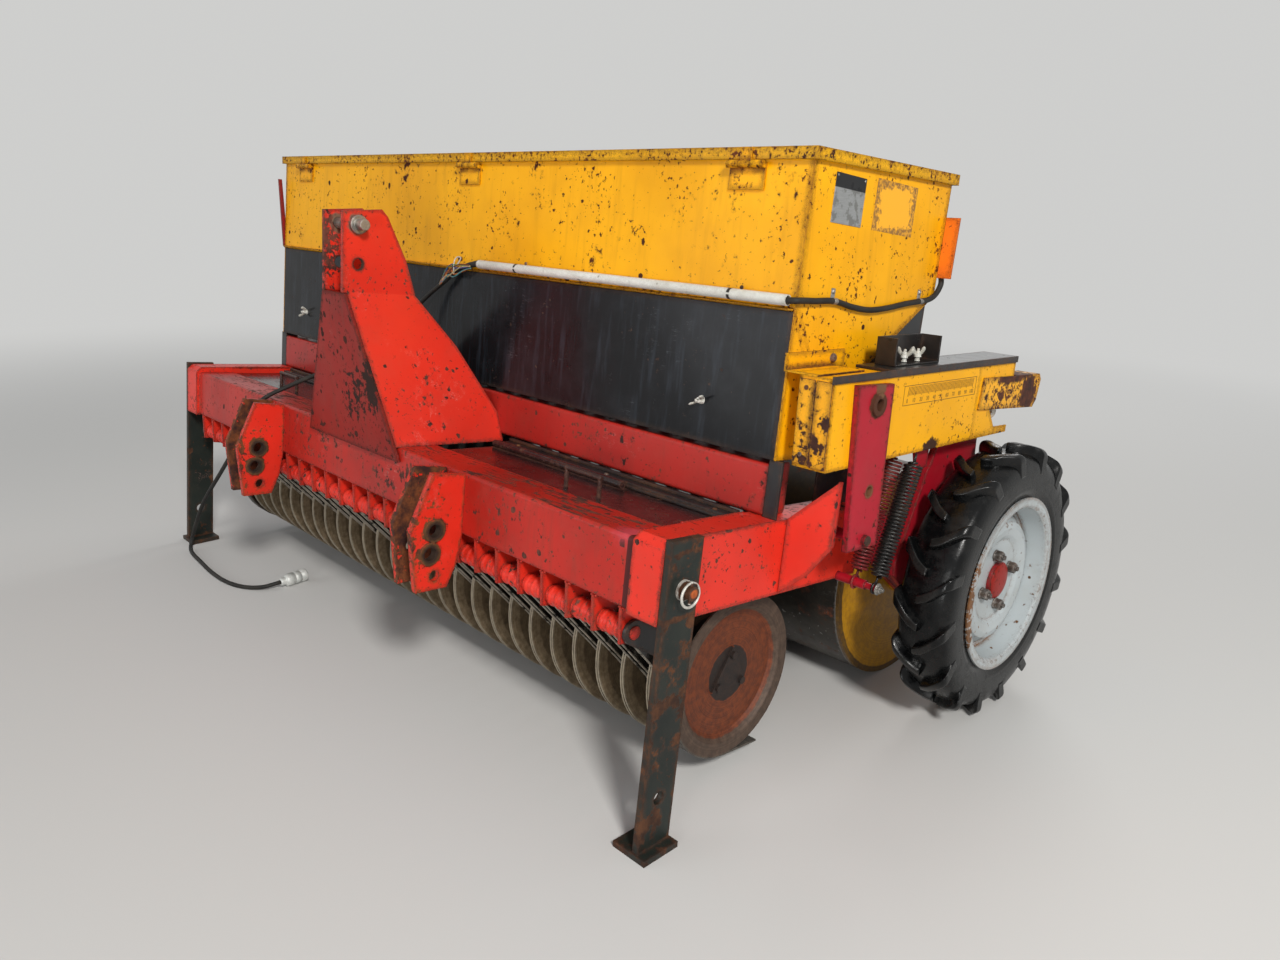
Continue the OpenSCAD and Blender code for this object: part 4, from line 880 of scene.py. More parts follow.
def bars():
    """Stations give (across, radius, around, half width, height, lean of the normal). At each station the
    section runs from foot to foot through two rounded shoulders: u across it, v up."""
    st = [[-5, 303.0, 1, 9, 18.4, 0], [5, 303.0, -3, 10.5, 18.8, 0], [19, 302.6, -11, 11.5, 19.2, 0],
          [31, 301.6, -23, 12, 20, 2], [42, 299.5, -36, 12.5, 20.6, 8], [49, 296, -45, 13, 22, 16],
          [54, 290, -52, 13.5, 21, 24], [57.5, 284, -57, 13.5, 12, 46], [61.5, 275, -61, 13, 3.4, 72],
          [63, 262, -65, 12, 1.2, 90]]
    at, foot, round_, half, tall, lean = np.moveaxis(spline(st, 3)[:, :, None], 1, 0)
    u = np.array([-1.3, -1.06, -0.98, -0.86, -0.6, 0.0, 0.6, 0.86, 0.98, 1.06, 1.3])
    v = np.array([-0.12, 0.6, 0.86, 0.97, 1.0, 1.0, 1.0, 0.97, 0.86, 0.6, -0.12])
    lean = np.radians(lean)
    across = np.minimum(at + tall * v * np.sin(lean), HALF_W - 0.1)
    radius = np.minimum(foot + tall * v * np.cos(lean), TYRE_R - 0.2)
    around = (round_ + half * u) / TYRE_R
    faces = grid_faces(*across.shape) + end_faces(*across.shape)
    parts = []
    for k in range(BARS):
        for s in (1, -1):
            base = (k + (1 - s) / 4) * TURN / BARS
            pts = wheel_point(s * across, base + around, radius).reshape(-1, 3)
            parts.append((row(pts), [q[::-1] for q in faces] if s > 0 else faces))
    return join(parts)


print("tyre", round(TYRE_R / 500, 3), "m across with", 2 * BARS, "bars")

# %% [markdown]
# Rubber is almost black, a little brown on the crown, polished where it touched the ground, and dull
# in patches. As on the discs, the distance from the axle tells the coloured zones apart.

# %% Tyre rubber
def tyre_material():
    """Glossy black rubber: dull in patches, dusty where it meets the ground, a little brown."""
    mat, g, vec = start("tyre_rubber")
    radius = g.vec("LENGTH", g.vec("MULTIPLY", g.vec("SUBTRACT", vec, row(WHEEL)), SIDE))
    crown = g.times(g.step(radius, 0.316, 0.300), g.step(radius, 0.285, 0.297))
    dirt = g.step(g.noise(vec, 30.0, 5.0, 0.7), 0.42, 0.7)
    color = g.mix(dirt, "08090a", "141414")
    color = g.mix(g.times(crown, g.step(g.noise(vec, 16.0, 4.0, 0.65), 0.55, 0.8)), color, "221f1c")
    color = g.mix(g.times(g.step(radius, 0.3195, 0.3215), 0.4), color, "2a2826")
    scratches = g.use("Scratches", Vector=vec, Amount=0.35).outputs["Mask"]
    color = g.mix(g.times(scratches, 0.4), color, "55504a")
    height = g.plus(g.noise(vec, 220.0, 3.0), g.times(g.noise(vec, 40.0, 3.0), 0.6))
    shade(g, {"Base Color": color, "Roughness": g.mixf(dirt, 0.2, 0.42), "Specular IOR Level": 0.25,
              "Normal": bump(g, height, 0.25)})
    return mat


M["tyre"] = tyre_material()
tyre = make("tyre_detail", join([carcass(), bars()]), M["tyre"], "drive_wheel")
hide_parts("tyre")

# %% [markdown]
# ## Nuts and hub cap
#
# Four wheel nuts with studs hold the rim, and a red cap covers the hub. A nut could be a cylinder
# with six sides and a bevel. It is turned here like everything round, with only six points to a
# ring, so the chamfer is one more pair of its profile, and the washer and the stud are turned too.

# %% Fasteners
def hexagon(centre, across, height, washer, stud, stud_r):
    """A nut along X in machine mm: a washer, a six-sided prism with a chamfer, and a threaded stud whose
    radius waves along its length."""
    base, corner = 2.6, across / math.sqrt(3)
    top = base + height
    disc = [(0, 0.1), (0, washer), (2.2, washer), (2.8, washer - 1), (2.8, 0.1)]
    prism = [(base, corner), (top - 1.5, corner), (top, corner * 0.86), (top, 0.1)]
    parts = [lathe(disc, centre, turns=24), lathe(prism, centre, turns=6)]
    s = np.linspace(top - 1, top + stud, 14)
    r = stud_r * (1 + 0.06 * np.where(np.arange(14) % 2, 1, -1))
    parts.append(lathe([*zip(s, r), (s[-1] + 0.6, stud_r * 0.8), (s[-1] + 0.6, 0.05)], centre, turns=12))
    v, f = join(parts)
    return row(v), f


def dome(centre, radius, height):
    """A rounded cap along X: a short straight wall, then a quarter ellipse from the rim to the middle."""
    t = np.linspace(0, math.pi / 2, 7)
    crown = np.stack([height * (0.3 + 0.7 * np.sin(t)), np.maximum(radius * np.cos(t), 0.2)], axis=1)
    v, f = lathe(np.vstack([[0, radius], crown]), centre, turns=32)
    return row(v), f


nut_angles = np.radians([20, 110, 200, 290])
nuts = [hexagon(WHEEL + [22.4, 66 * math.cos(a), 66 * math.sin(a)], 23, 15.6, 14, stud=6, stud_r=5.5)
        for a in nut_angles]
make("wheel_nuts", join(nuts), M["nut"], "drive_wheel", smooth=False)
# The hub cap takes the closing plate's red, so it carries the same painted shade.
make("hub_cap", dome(WHEEL + [29.8, 0, 0], 42, 8), M["red_front_shaded"], "drive_wheel")

# %% [markdown]
# ## Springs
#
# Two long tension springs pull the drive wheel to the ground. A Screw modifier makes a helix in a
# moment, but a real one closes in over its last turns and ends in a hook. So the wire's path is a
# formula with a radius that eases in at both ends, and a ring and a stem make each hook.

# %% Springs
SPRING_LOW, SPRING_HIGH = np.array([545.0, 450.0]), np.array([627.0, 713.0])
WIRE, HOOK_WIRE = 5.4, 5.6


def wire(points, thick, closed=False):
    """A round wire, thick mm across, along points in machine mm."""
    return tube(row(points), thick / 2000.0, 8, closed=closed)


def helix(x, radius, coils=33, lead=24.0, per=18):
    """Points low + s * axis + r(s) * (cos t * u + sin t * v) with t = 2 pi * coils * s: r falls smoothly
    to a third at both ends, where the wire runs into its hook."""
    a, b = np.array([x, *SPRING_LOW]), np.array([x, *SPRING_HIGH])
    ax, length = unit(b - a), np.linalg.norm(b - a)
    u = np.array([1.0, 0, 0])
    s = np.linspace(0, 1, coils * per + 1)[:, None]
    t = TURN * coils * s
    ease = np.clip(np.minimum(s, 1 - s) * coils, 0, 1)
    r = radius * (0.35 + 0.65 * ease * ease * (3 - 2 * ease))
    along = lead + (length - lead - 4) * s
    return wire(a + along * ax + r * (np.cos(t) * u + np.sin(t) * np.cross(ax, u)), WIRE)


def hook(x, ring):
    """The hook's closed ring in the plane x = constant, and the stems at the spring's two ends."""
    a = angles(28)
    eye = [np.full(28, x), SPRING_LOW[0] + ring * np.cos(a), SPRING_LOW[1] + ring * np.sin(a)]
    up = unit(SPRING_HIGH - SPRING_LOW)
    foot, head = SPRING_LOW + up * (ring + 1), SPRING_HIGH - up * 6
    return [wire(np.stack(eye, axis=-1), HOOK_WIRE, closed=True),
            wire([[x, *foot], [x, *(foot + up * 14)]], HOOK_WIRE),
            wire([[x, *head], [x, *(SPRING_HIGH + [0, 15])]], HOOK_WIRE)]


outer_spring = make("outer_spring", join([helix(1165, 17.4), *hook(1165, 10.5)]), M["coil"])
make("inner_spring", join([helix(1118, 17.4), *hook(1118, 13.5)]), M["crimson"])
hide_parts("springs")
make("stub_nut", hexagon([1172, 545, 450], 15, 7, 13, stud=5, stud_r=4), M["steel"], smooth=False)

# %% [markdown]
# ## Row units
#
# Under the beam sit twenty-six row units. Each turns on a pivot bush that has three raised
# rings. The rings could be torus pieces, but one wavy profile turned about the pivot tube gives bush
# and rings in a single closed skin, and a loop over the rows places them.

# %% Bush rings
ROWS, ROW_PITCH = 26, 75.0
row_x = (np.arange(ROWS) - (ROWS - 1) / 2) * ROW_PITCH


def ring_profile():
    """Radius along a bush: a wave of three crests between thin collars."""
    s = np.linspace(-30, 30, 31)
    return np.stack([s, 20.2 + 2.6 * np.maximum(np.cos(s / 20 * TURN), -0.2) * (np.abs(s) < 28)], axis=1)


rings, ring_quads = join([lathe(ring_profile(), [x, *PIVOT], turns=20) for x in row_x])
make("bush_rings", (row(rings), ring_quads), M["red"])

# %% [markdown]
# ## Coulter bars
#
# Outside each pair of arms a steeper flat bar runs from the bush down beside the discs. It is cut
# from flat steel and bent at its lower end, so its section is a rectangle with cut corners, carried
# along a line that bends down and narrows. A Bevel curve with a taper would do the same, with less
# say over the corners.

# %% Bars
def bar(x, side):
    """One bar at machine x: stations s along the slope, half width w(s), and a bend that grows with the
    square of the distance past the last quarter. u and t are the section across and through."""
    s = np.array([10.0, 60, 110, 160, 200, 225, 245, 262, 276, 286])
    w = np.array([11.5, 11.5, 11.5, 11.5, 11.5, 11.2, 10.4, 8.8, 6.4, 3.5])
    u = np.array([-1, -0.88, 0.88, 1, 1, 0.88, -0.88, -1.0])
    t = np.array([0.9, 0.0, 0.0, 0.9, 4.1, 5.0, 5.0, 4.1])
    bend = np.maximum(s - 205, 0) ** 2 / 420
    down = np.array([BAR_WAY[1], -BAR_WAY[0]])
    mid = np.array(PIVOT) + s[:, None] * BAR_WAY + bend[:, None] * down
    way = unit(np.gradient(mid, axis=0))
    across = np.stack([way[:, 1], -way[:, 0]], axis=1)
    yz = mid[:, None, :] + (w[:, None] * u)[:, :, None] * across[:, None, :]
    xs = np.broadcast_to(x + side * (23.0 + t), yz.shape[:2])
    pts = np.concatenate([xs[:, :, None], yz], axis=-1).reshape(-1, 3)
    f = grid_faces(len(s), 8, wrap_cols=True) + end_faces(len(s), 8)
    return row(pts), (f if side > 0 else [q[::-1] for q in f])


make("coulter_bars", join([bar(x, side) for x in row_x for side in (1, -1)]), M["bar"], smooth=False)

# %% [markdown]
# ## Front strip, lip and panels
#
# Thin folded parts lie on the CAD's faces: a black strip along the deck's rear, a lip under the
# hopper's front, and worn panels on the housing's front end. They are too thin for a solid of their
# own in the CAD. Plain boxes with cut edges are enough, because each is a straight fold.

# %% Thin parts
HOUSING_TILT, HOUSING_CORNER = math.radians(3.45), (1165, 300, 712)


def housing(points):
    """Points in the housing's own frame (out, along, up) in mm, turned by its pitch and placed at its
    lower front corner."""
    x, s, h = np.moveaxis(np.asarray(points, float), -1, 0)
    c, t = math.cos(HOUSING_TILT), math.sin(HOUSING_TILT)
    return row(np.stack([x, s * c - h * t, s * t + h * c], axis=-1) + HOUSING_CORNER)


def box_in(low, high, chamfer=1.0, place=row):
    """A block in machine mm, or in the frame that another placing function knows."""
    v, f = block(low, high, chamfer)
    return place(v), f


strips = []
for x0, x1 in ((242, 985), (-985, -242)):
    strips += [box_in((x0, 268, 578.3), (x1, 299.6, 590), 1.5),
               box_in((x0, 290, 590), (x1, 299.6, 597.5), 1.2),
               box_in((x0, 262, 578.3), (x1, 268, 585), 1.2)]
make("deck_strip", join(strips), M["black"], smooth=False)
lips = [box_in((-1054, 289.5, 995.5), (34, 295.7, 999.5), 0.8),
        box_in((34, 289.5, 993.5), (1050, 295.7, 997.5), 0.8)]
make("hopper_lip", join(lips), M["yellow"], smooth=False)
panels = [box_in((-74.5, -2.4, 6), (-39, -0.3, 166), 0.9, housing),
          box_in((-36.5, -3.4, 4), (-1.5, -0.3, 166), 0.9, housing),
          box_in((-39, -5.5, 6), (-36.5, -0.3, 160), 0.6, housing)]
make("housing_panels", join(panels), M["yellow_worn"], smooth=False)

# %% [markdown]
# ## Wing nuts
#
# White wing nuts close the front cover and the adjuster box. The form is cast: a waisted boss with
# two flattened horns that curve outwards. Sculpting is one way. Here the boss is turned, and each
# horn is a tube of changing radius that is then pressed flat between two planes.

# %% Wing nuts
def wing_nut(centre, axis, spread, size=1.0, post=0.0):
    """Boss turned about the axis, and two horns swept along a curve in the plane of axis and spread:
    the distance from that plane shrinks by 0.55."""
    ax, sp = np.asarray(axis, float), np.asarray(spread, float)
    c = np.asarray(centre, float) + ax * post
    boss = [(0, 8.5), (3, 8), (8, 6.2), (12, 5.6), (13, 4.5), (13, 3.2), (19, 3.1), (19, 0.1)]
    parts = [lathe(boss, c, ax, 16, sp)]
    if post:
        parts.append(lathe([(0, 7), (post * 0.4, 5.5), (post, 5.5)], centre, ax, 14, sp))
    through = np.cross(ax, sp)
    for s in (1, -1):
        path = spline([c + ax * a + sp * s * b for a, b in ((4, 4), (9, 9), (16, 14), (23, 16.5))], 4)
        r = np.interp(np.linspace(0, 1, len(path)), [0, 0.35, 0.8, 1], [4.2, 4.8, 5.2, 2.4])
        v, f = tube(path, r, 10)
        parts.append((v - 0.55 * ((v - c) @ through)[:, None] * through, f))
    v, f = join(parts)
    return c + (v - c) * size, f


wings = []
for point, spread in (([855, 295.6, 796], [0.8, 0, 0.6]), ([-884, 295.6, 796], [0.5, 0, 0.86])):
    v, f = wing_nut(point, [0, -1, 0], spread)
    wings.append((row(v), f))
for x, s, turn in ((-42, 303, 0.3), (-38, 348, 1.2)):
    v, f = wing_nut([x, s, 181.6], [0, 0, 1], [math.cos(turn), math.sin(turn), 0], 0.9, post=9)
    wings.append((housing(v), f))
make("wing_nuts", join(wings), M["white"])

# %% [markdown]
# ## Screws
#
# Pan-head screws hold the panels, the cover, the deck strip and the link plate. At their size only
# the outline and a dimple for the driver show, so each is a turned profile of six pairs, and one
# mesh holds them all.

# %% Screws
def screw_head(centre, axis, radius, height, place=row, turns=20):
    """A pan head with a shallow dimple."""
    profile = [(-0.4, radius), (height * 0.4, radius), (height * 0.85, radius * 0.78),
               (height, radius * 0.5), (height * 0.8, radius * 0.34), (height * 0.8, 0.1)]
    v, f = lathe(profile, centre, axis, turns)
    return place(v), f


OUT, FORWARD, UP = (1, 0, 0), (0, -1, 0), (0, 0, 1)
heads = [screw_head((-105, 143, 190), OUT, 9, 6, housing), screw_head((1186, 451, 569), OUT, 10.5, 4)]
heads += [screw_head((x, 287, 1026), FORWARD, 4, 3) for x in (262, 930)]
heads += [screw_head((-57, -3.0, h), FORWARD, 4.5, 2.5, housing) for h in (150, 25)]
heads += [screw_head((s * x, 275, 590), UP, 5, 3) for s in (1, -1) for x in (300, 620, 940)]
make("screws", join(heads), M["screw"])

# %% [markdown]
# ## Rate scale
#
# The seed rate is read on a printed scale: a frame, fifty-one ticks and round numbers. It would be an
# image texture in a game. Here each mark is a thin plate that lies on the housing's side, and the
# digits are a text object turned into a mesh, so the edges stay sharp at any distance.

# %% Scale
S0, S1, H0, H1 = 246.0, 548.0, 103.0, 143.0
FIRST_TICK, TICK_STEP, TICKS = 15, 5.4, 51
PLATE_FACES = [[0, 3, 2, 1], [4, 5, 6, 7], [0, 1, 5, 4], [1, 2, 6, 5], [2, 3, 7, 6], [3, 0, 4, 7]]


def mark(s0, h0, s1, h1, slant=0.0):
    """A flat mark from (s0, h0) to (s1, h1) in the housing's side plane, its top moved by slant."""
    loop = ((s0, h0), (s1, h0), (s1 + slant, h1), (s0 + slant, h1))
    return housing([(x, s, h) for x in (0.05, 0.35) for s, h in loop]), PLATE_FACES


marks = [mark(S0, H0, S1, H0 + 1), mark(S0, H1 - 1, S1, H1), mark(S0, H0, S0 + 1, H1),
         mark(S1 - 1, H0, S1, H1)]
for k in range(TICKS):
    s = S0 + FIRST_TICK + k * TICK_STEP
    marks.append(mark(s, H0 + (18 if k % 5 == 0 else 20), s + 1.5, H1 - 3, slant=3.0))
text_data = bpy.data.curves.new("digits", "FONT")
text_data.size = 12.0
probe = add_object("digits", text_data)
for k in range(11):
    text_data.body = str(k * 10)
    bpy.context.view_layer.update()
    m = probe.evaluated_get(bpy.context.evaluated_depsgraph_get()).to_mesh()
    flat = np.array([v.co[:] for v in m.vertices])
    left, wide = flat[:, 0].min(), np.ptp(flat[:, 0])
    s = S0 + FIRST_TICK + k * 5 * TICK_STEP - wide / 2 + flat[:, 0] - left
    pts = housing(np.stack([np.full(len(s), 0.3), s, H0 + 5 + flat[:, 1]], axis=-1))
    marks.append((pts, [list(p.vertices) for p in m.polygons]))
    probe.to_mesh_clear()
bpy.data.objects.remove(probe)
make("rate_scale", join(marks), M["ink"], smooth=False)

# %% [markdown]
# ## Plate and sticker marks
#
# On the hopper's end sit a blank grey plate with a black band and the brown frame that an old sticker
# has left round clean paint. Both patterns are simple enough to be formulas on the position: a height
# on the plate for the band, and a distance from the sticker's middle, torn by noise, for the frame.

# %% Plate
def plate_material():
    """Brushed grey plate with a black band over its upper third, split by height on the plate."""
    mat, g, vec = start("data_plate")
    parts = g.add("SeparateXYZ", {0: vec}).outputs
    level = g.math("MULTIPLY_ADD", parts[1], math.tan(PITCH), parts[2])
    border = row([1055, 415, 1224])
    edge = float(border[2] + border[1] * math.tan(PITCH))
    grain = g.noise(g.stretch(vec, (40, 40, 900)), 1.0, 3.0)
    worn = g.step(g.noise(vec, 55.0, 4.0, 0.6), 0.5, 0.62)
    grey = g.mix(g.times(worn, 0.6), g.mix(grain, "77797a", "a3a5a4"), "5b5a55")
    color = g.mix(g.step(level, edge - 0.0006, edge + 0.0006), grey, "1a1b1d")
    shade(g, {"Base Color": color, "Roughness": g.mixf(worn, 0.35, 0.6), "Metallic": 0.35})
    return mat


def residue_material():
    """Yellow paint with a brown, torn frame: the distance from the sticker's middle along Y and Z, taken
    as the larger of the two, is cut by noise into a band."""
    mat, g, vec = start("sticker_residue")
    off = g.vec("ABSOLUTE", g.vec("SUBTRACT", vec, row([1055.2, 583, 1209])))
    parts = g.add("SeparateXYZ", {0: off}).outputs
    far = g.most(g.math("DIVIDE", parts[1], 0.076), g.math("DIVIDE", parts[2], 0.049))
    rag = g.times(g.minus(g.noise(vec, 90.0, 5.0, 0.7), 0.5), 0.9)
    band = g.step(g.plus(far, rag), 0.72, 0.82)
    flecks = g.math("MULTIPLY_ADD", g.step(g.noise(vec, 130.0, 4.0, 0.7), 0.42, 0.55), 0.6, 0.3)
    shade(g, {"Base Color": g.mix(g.times(band, flecks), "eda70c", "6e4a1c"), "Roughness": 0.5,
              "Coat Weight": 0.2})
    return mat


M["plate"], M["residue"] = plate_material(), residue_material()
make("data_plate", box_in((1054.9, 366, 1160), (1056.2, 467, 1250), 0.4), M["plate"], smooth=False)
make("sticker_residue", box_in((1055.02, 507, 1160), (1055.35, 659, 1258), 0.1), M["residue"], smooth=False)
rivets = [screw_head((1056.0, y, z), OUT, 2.6, 1.6, turns=12) for y in (371, 462) for z in (1165, 1245)]
make("plate_rivets", join(rivets), M["steel"])

# %% [markdown]
# ## Side cable, clips and clamps
#
# A fixed cable runs along the hopper's end under two P-clips, and two black clamps hold the conduit.
# The cable is a tube along a smooth curve. A clip is a band bent round its cable with a tail under a
# screw, and a clamp is nearly a full ring, so both are one flat strip swept along an arc.

# %% Side cable
SIDE_Y = 1061.3
side_route = [[1012, 285.2, 1012], [1035, 285.2, 1012], [1049, 283.2, 1012], [1061, 288.2, 1013],
              [1063.3, 303.2, 1014], [1062.3, 340, 1015], [SIDE_Y, 407, 1018], [SIDE_Y, 470, 1010],
              [SIDE_Y, 534, 1007], [SIDE_Y, 600, 1014], [SIDE_Y, 670, 1026], [SIDE_Y, 729, 1034],
              [SIDE_Y, 765, 1040], [SIDE_Y, 790, 1052], [SIDE_Y, 806, 1075], [SIDE_Y - 6, 810, 1095]]
side_cable = make("side_lead", tube(spline(row(side_route)), CORD_D / 2, 12), M["rubber"])
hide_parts("side_cable")


def band(points, normal, width, thick):
    """A flat strip that follows points in the plane square to normal, thick outwards by thick."""
    p, half = np.asarray(points, float), np.asarray(normal, float) * width / 2
    out = np.cross(unit(np.gradient(p, axis=0)), normal) * thick
    section = np.stack([p - half, p + half, p + half + out, p - half + out], axis=1)
    return row(section.reshape(-1, 3)), grid_faces(len(p), 4, wrap_cols=True) + end_faces(len(p), 4)


clips = []
for y, z in ((407, 1018), (729, 1034)):
    a = np.linspace(math.radians(-100), math.radians(140), 16)
    arc = np.stack([SIDE_Y + 6.3 * np.cos(a), np.full(16, y), z + 6.3 * np.sin(a)], axis=-1)
    tail = [[1056.4, y, z + 11], [1056.2, y, z + 24]]
    clips += [band(np.vstack([arc, tail]), (0, 1, 0), 12, 1.0), screw_head((1056.6, y, z + 18), OUT, 4.0, 3.0)]
make("side_clips", join(clips), M["steel"], smooth=False)
clamps = []
for x in (230, 906):
    a = np.linspace(math.radians(-80), math.radians(260), 22)
    ring = np.stack([np.full(22, x), 285.2 + 10.9 * np.sin(a), 1012 - 10.9 * np.cos(a)], axis=-1)
    clamps.append(band(ring[::-1], OUT, 7, 0.9))
make("conduit_clamps", join(clamps), M["rubber"], smooth=False)

# %% [markdown]
# ## Strain relief and splice
#
# Where the free cable leaves the conduit a tapered sleeve takes the bending. Next to it
# six coloured wires are spliced and held by a tie and a long screw. Each wire is a tube along
# seven points, and its own angle moves them, so that the bundle spreads and meets again.

# %% Splice
RELIEF_LENGTH = 0.045
along = np.linalg.norm(np.diff(cable_path, axis=0), axis=1).cumsum()
near = spline(cable_path[:int(np.searchsorted(along, RELIEF_LENGTH)) + 2], 4)
make("strain_relief", tube(near, np.linspace(0.0098, 0.0064, len(near)), 14), M["rubber"])
wires = {"wire_blue": ("1f5fa8", 0.0), "wire_green": ("3f9a4a", 0.9), "wire_brown": ("6a3a1c", 1.9),
         "wire_cream": ("e0cf9a", 2.8), "wire_teal": ("3aa0a8", 4.0), "wire_orange": ("d87a2a", 5.1)}
for name, (colour, turn) in wires.items():
    M[name] = paint(name, colour, colour, chips=0.1, edge=0.0, scratch=0.1, dust=0.2, rough=0.4, coat=0.1)
    c, s = math.cos(turn), math.sin(turn)
    loop = [[44 - 4 * c, 278 - 3 * s, 1003 + 4 * s], [18, 272 - 4 * s, 998 + 9 * s],
            [-16, 270 - 2 * s, 988 + 15 * math.sin(turn + 0.6)], [-32 + 9 * c, 271, 988 + 17 * c],
            [-50, 273, 982 + 12 * math.sin(turn + 1)], [-68, 270, 958 + 5 * s], [-84, 273, 946 + 3 * c]]
    make(name, wire(spline(loop, 7), 3.4), M[name])
tie = [[-16, 272, 980], [-12, 268, 1000], [-18, 274, 1016], [-22, 285, 1024], [-14, 289, 1022],
       [-10, 279, 1008], [-20, 272, 990]]
make("splice_tie", wire(spline(tie), 3.2), M["white"])
make("splice_screw", screw_head((-20, 295.4, 1020), FORWARD, 5, 9), M["screw"])

# %% [markdown]
# ## Plug
#
# The free cable ends in a pale metal plug: gland, knurled collar, ribbed body and open rim. It is a
# turned part on the real machine too, so one profile says all of it. It lies on the ground, so its
# points are in parked axes.

# %% Plug
profile = [(0.2, 6.6), (0.2, 10), (3, 11.8), (14, 11.8), (16, 12), (16, 15.5), (20, 17.6), (24, 18.7),
           (42, 18.7), (43, 17.4), (46, 17.4), (47, 18.8), (62, 18.8), (63, 17.2), (66, 17.2),
           (67, 18.9), (82, 18.9), (84.4, 17.8), (84.4, 15.2), (76, 14.8), (76, 0.1)]
v, f = lathe(profile, plug_start, plug_dir, 28)
plug = make("plug_body", (parked(v), f), M["plug"])
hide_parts("cord_plug")

# %% [markdown]
# ## Weld beads
#
# The lugs, the side members and the row ribs are welded to the beam, and the seams are plain to see.
# A displaced strip or a bump texture would do from afar. A bead is a tube whose radius ripples along
# its length, as overlapping pools do, and its middle wanders a little. Each has its own seed, so the
# file gives the same beads every time.

# %% Welds
LUG_X, LUG_GAP, LUG_WELD, RIB_WELD = 435, 27, 8.5, 5.2


def bead(a, b, r, seed):
    """Straight bead from a to b: radius r (1 + ripple), centre wandering by a fraction of r."""
    a, b = np.asarray(a, float), np.asarray(b, float)
    n = max(int(np.linalg.norm(b - a) / 4), 6)
    rng = np.random.default_rng(seed)
    wander = 0.4 * np.convolve(rng.normal(0, 0.35, n + 4), np.ones(5) / 5, "valid")[:n, None]
    ripple = 1 + 0.14 * np.sin(np.arange(n) * 2.1) + rng.normal(0, 0.05, n)
    return tube(row(a + (b - a) * np.linspace(0, 1, n)[:, None] + wander), r * ripple / 1000, 8)


seams = []
for s in (1, -1):
    for x in (LUG_X - LUG_GAP, LUG_X + LUG_GAP):
        for off in (-LUG_WELD, LUG_WELD):
            seams.append(((s * x + off, -0.5, 448), (s * x + off, -0.5, 580)))
    seams.append(((s * 1000, 111, 597), (s * 1000, 290, 597)))
    seams.append(((s * 997, 0.5, 450), (s * 997, 0.5, 578)))
for k in range(ROWS + 1):
    for off in (-RIB_WELD, RIB_WELD):
        x = (k - ROWS / 2) * ROW_PITCH + off
        seams.append(((x, 2, 445.4), (x, 40, 445.4)))
beads = [bead(a, b, 3.0 if k < 14 else 2.4, k) for k, (a, b) in enumerate(seams)]
make("weld_beads", join(beads), M["red"])

# %% [markdown]
# ## The free cable
#
# The cable is one length of black rubber from the conduit to its plug. A curve object with a round
# bevel is Blender's own way to draw it, and it keeps the route as points that a simulation can read.
# It replaces the CAD cable, and the plug at its end is a piece of its own.

# %% Cable
data = bpy.data.curves.new("free_cable", "CURVE")
data.dimensions, data.bevel_depth, data.bevel_resolution, data.use_fill_caps = "3D", CORD_D / 2, 4, True
line = data.splines.new("POLY")
line.points.add(len(cable_path) - 1)
line.points.foreach_set("co", np.hstack([cable_path, np.ones((len(cable_path), 1))]).ravel())
line.use_smooth = True
data.materials.append(M["rubber"])
cable = add_object("free_cable", data, "frame")
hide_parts("cord")

# %% [markdown]
# ## Floor and backdrop
#
# The studio is a plain pale floor that has no horizon. A curved backdrop sheet would hide the horizon
# as in a photo studio. Here the floor turns into an even glow some metres away, and the world shows
# the same colour to rays that look at it, so the two meet unseen while the floor near the machine
# keeps its shadow.

# %% Floor
BACKDROP, SKY = (0.62, 0.62, 0.61, 1), (0.86, 0.88, 0.9, 1)
FLOOR_HALF, FADE_START, FADE_END = 40, 2.2, 7.0


def looked(g):
    """1 for rays that look at the backdrop: from the camera, mirrored, or through glass."""
    rays = g.add("LightPath").outputs
    return g.most(rays["Is Camera Ray"], g.most(rays["Is Glossy Ray"], rays["Is Transmission Ray"]))


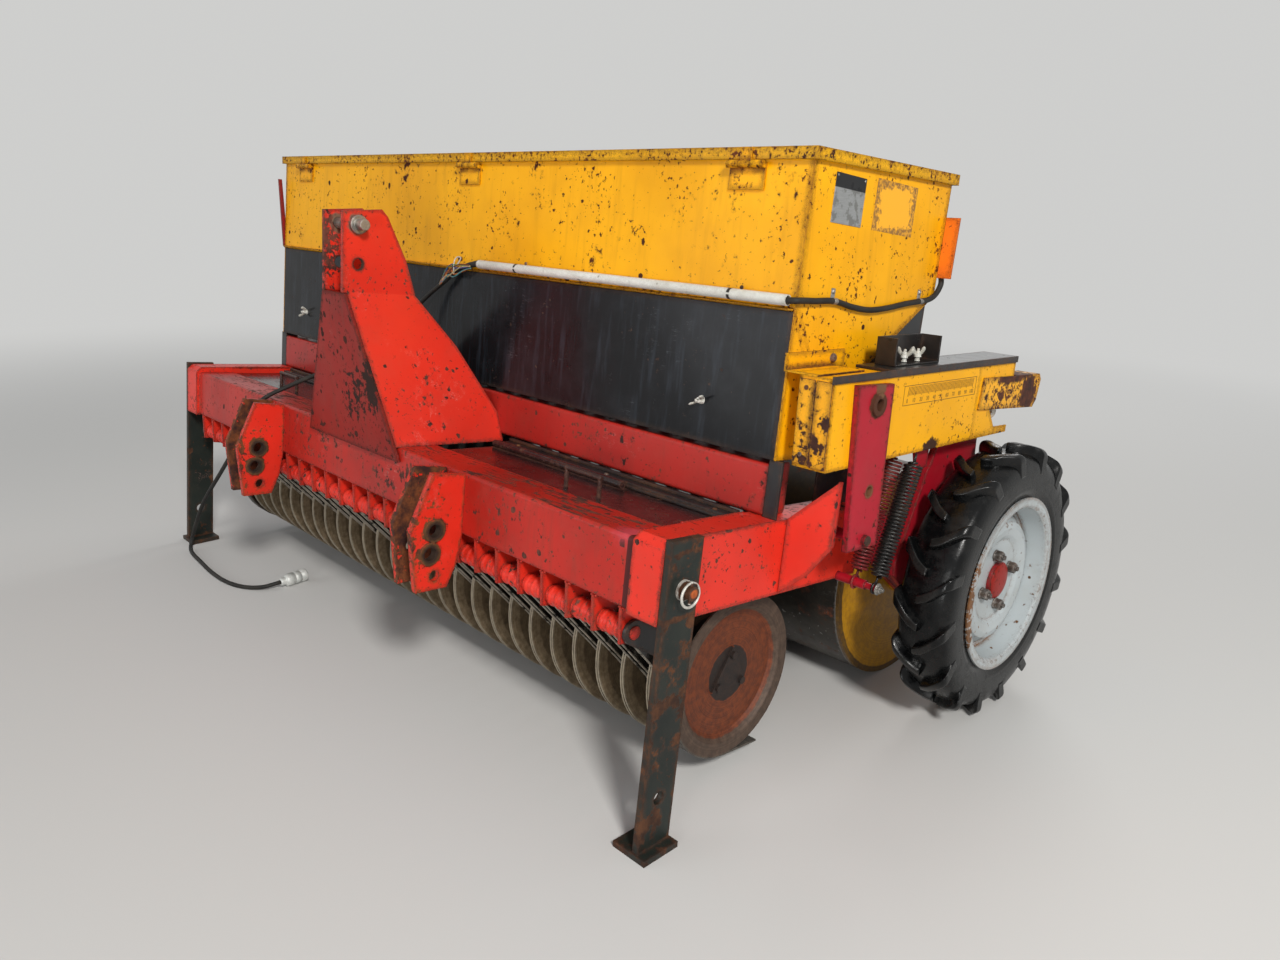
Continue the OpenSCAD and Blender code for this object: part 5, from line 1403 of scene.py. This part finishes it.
corners = [(x * FLOOR_HALF, y * FLOOR_HALF, 0) for x, y in ((-1, -1), (1, -1), (1, 1), (-1, 1))]
floor = make("floor", (corners, [(0, 1, 2, 3)]), body=None)
floor_mat = bpy.data.materials.new("floor")
floor_mat.use_nodes = True
g = Graph(floor_mat.node_tree)
away = g.step(g.vec("LENGTH", g.add("TexCoord").outputs["Object"]), FADE_START, FADE_END)
glow = g.add("Emission", {"Color": BACKDROP, "Strength": 1.0})
matt = floor_mat.node_tree.nodes["Principled BSDF"]
matt.inputs["Base Color"].default_value = (0.58, 0.575, 0.56, 1)
matt.inputs["Roughness"].default_value = 0.9
matt.inputs["Specular IOR Level"].default_value = 0.1
blend = g.add("MixShader", {0: g.times(looked(g), away), 1: matt.outputs[0], 2: glow.outputs[0]})
g.put(floor_mat.node_tree.nodes["Material Output"].inputs[0], blend.outputs[0])
floor.data.materials.append(floor_mat)

world = bpy.data.worlds.new("studio")
bpy.context.scene.world = world
world.use_nodes = True
g = Graph(world.node_tree)
sky = world.node_tree.nodes["Background"]
sky.inputs[0].default_value, sky.inputs[1].default_value = SKY, 0.40
seen = g.add("Background", {0: BACKDROP, 1: 1.0})
pick = g.add("MixShader", {0: looked(g), 1: sky.outputs[0], 2: seen.outputs[0]})
g.put(world.node_tree.nodes["World Output"].inputs[0], pick.outputs[0])
print("floor", 2 * FLOOR_HALF, "m wide")

# %% [markdown]
# ## Lamps
#
# The picture has soft daylight. One large lamp would do for that, but dark steel then has nothing to
# mirror. So a warm key stands high at the wheel's side, a low lamp reaches the discs under the beam,
# and a weak fill and a back light draw the edges. Their powers keep colours about as written.

# %% Lights
LAMPS = {
    "key": ((5.5, -2.9, 4.6), (0, 0, 0.6), 1.2, 420, (1.0, 0.98, 0.95)),
    "low": ((2.6, -4.2, 0.7), (0.2, -0.5, 0.2), 1.0, 50, (1, 1, 1)),
    "fill": ((-2.5, -5.5, 1.6), (0, 0, 0.4), 3.0, 50, (0.96, 0.98, 1.0)),
    "back": ((-1.0, 5.0, 4.0), (0, 0, 0.8), 3.0, 110, (1, 1, 1)),
}
for name, (stand, target, size, power, color) in LAMPS.items():
    lamp = bpy.data.lights.new(name, "AREA")
    lamp.shape, lamp.size, lamp.energy, lamp.color = "DISK", size, power, color
    obj = add_object(name, lamp)
    obj.location = stand
    obj.rotation_euler = (Vector(target) - Vector(stand)).to_track_quat("-Z", "Y").to_euler()
bpy.context.scene.view_settings.view_transform = "Standard"
print("lamps", list(LAMPS))
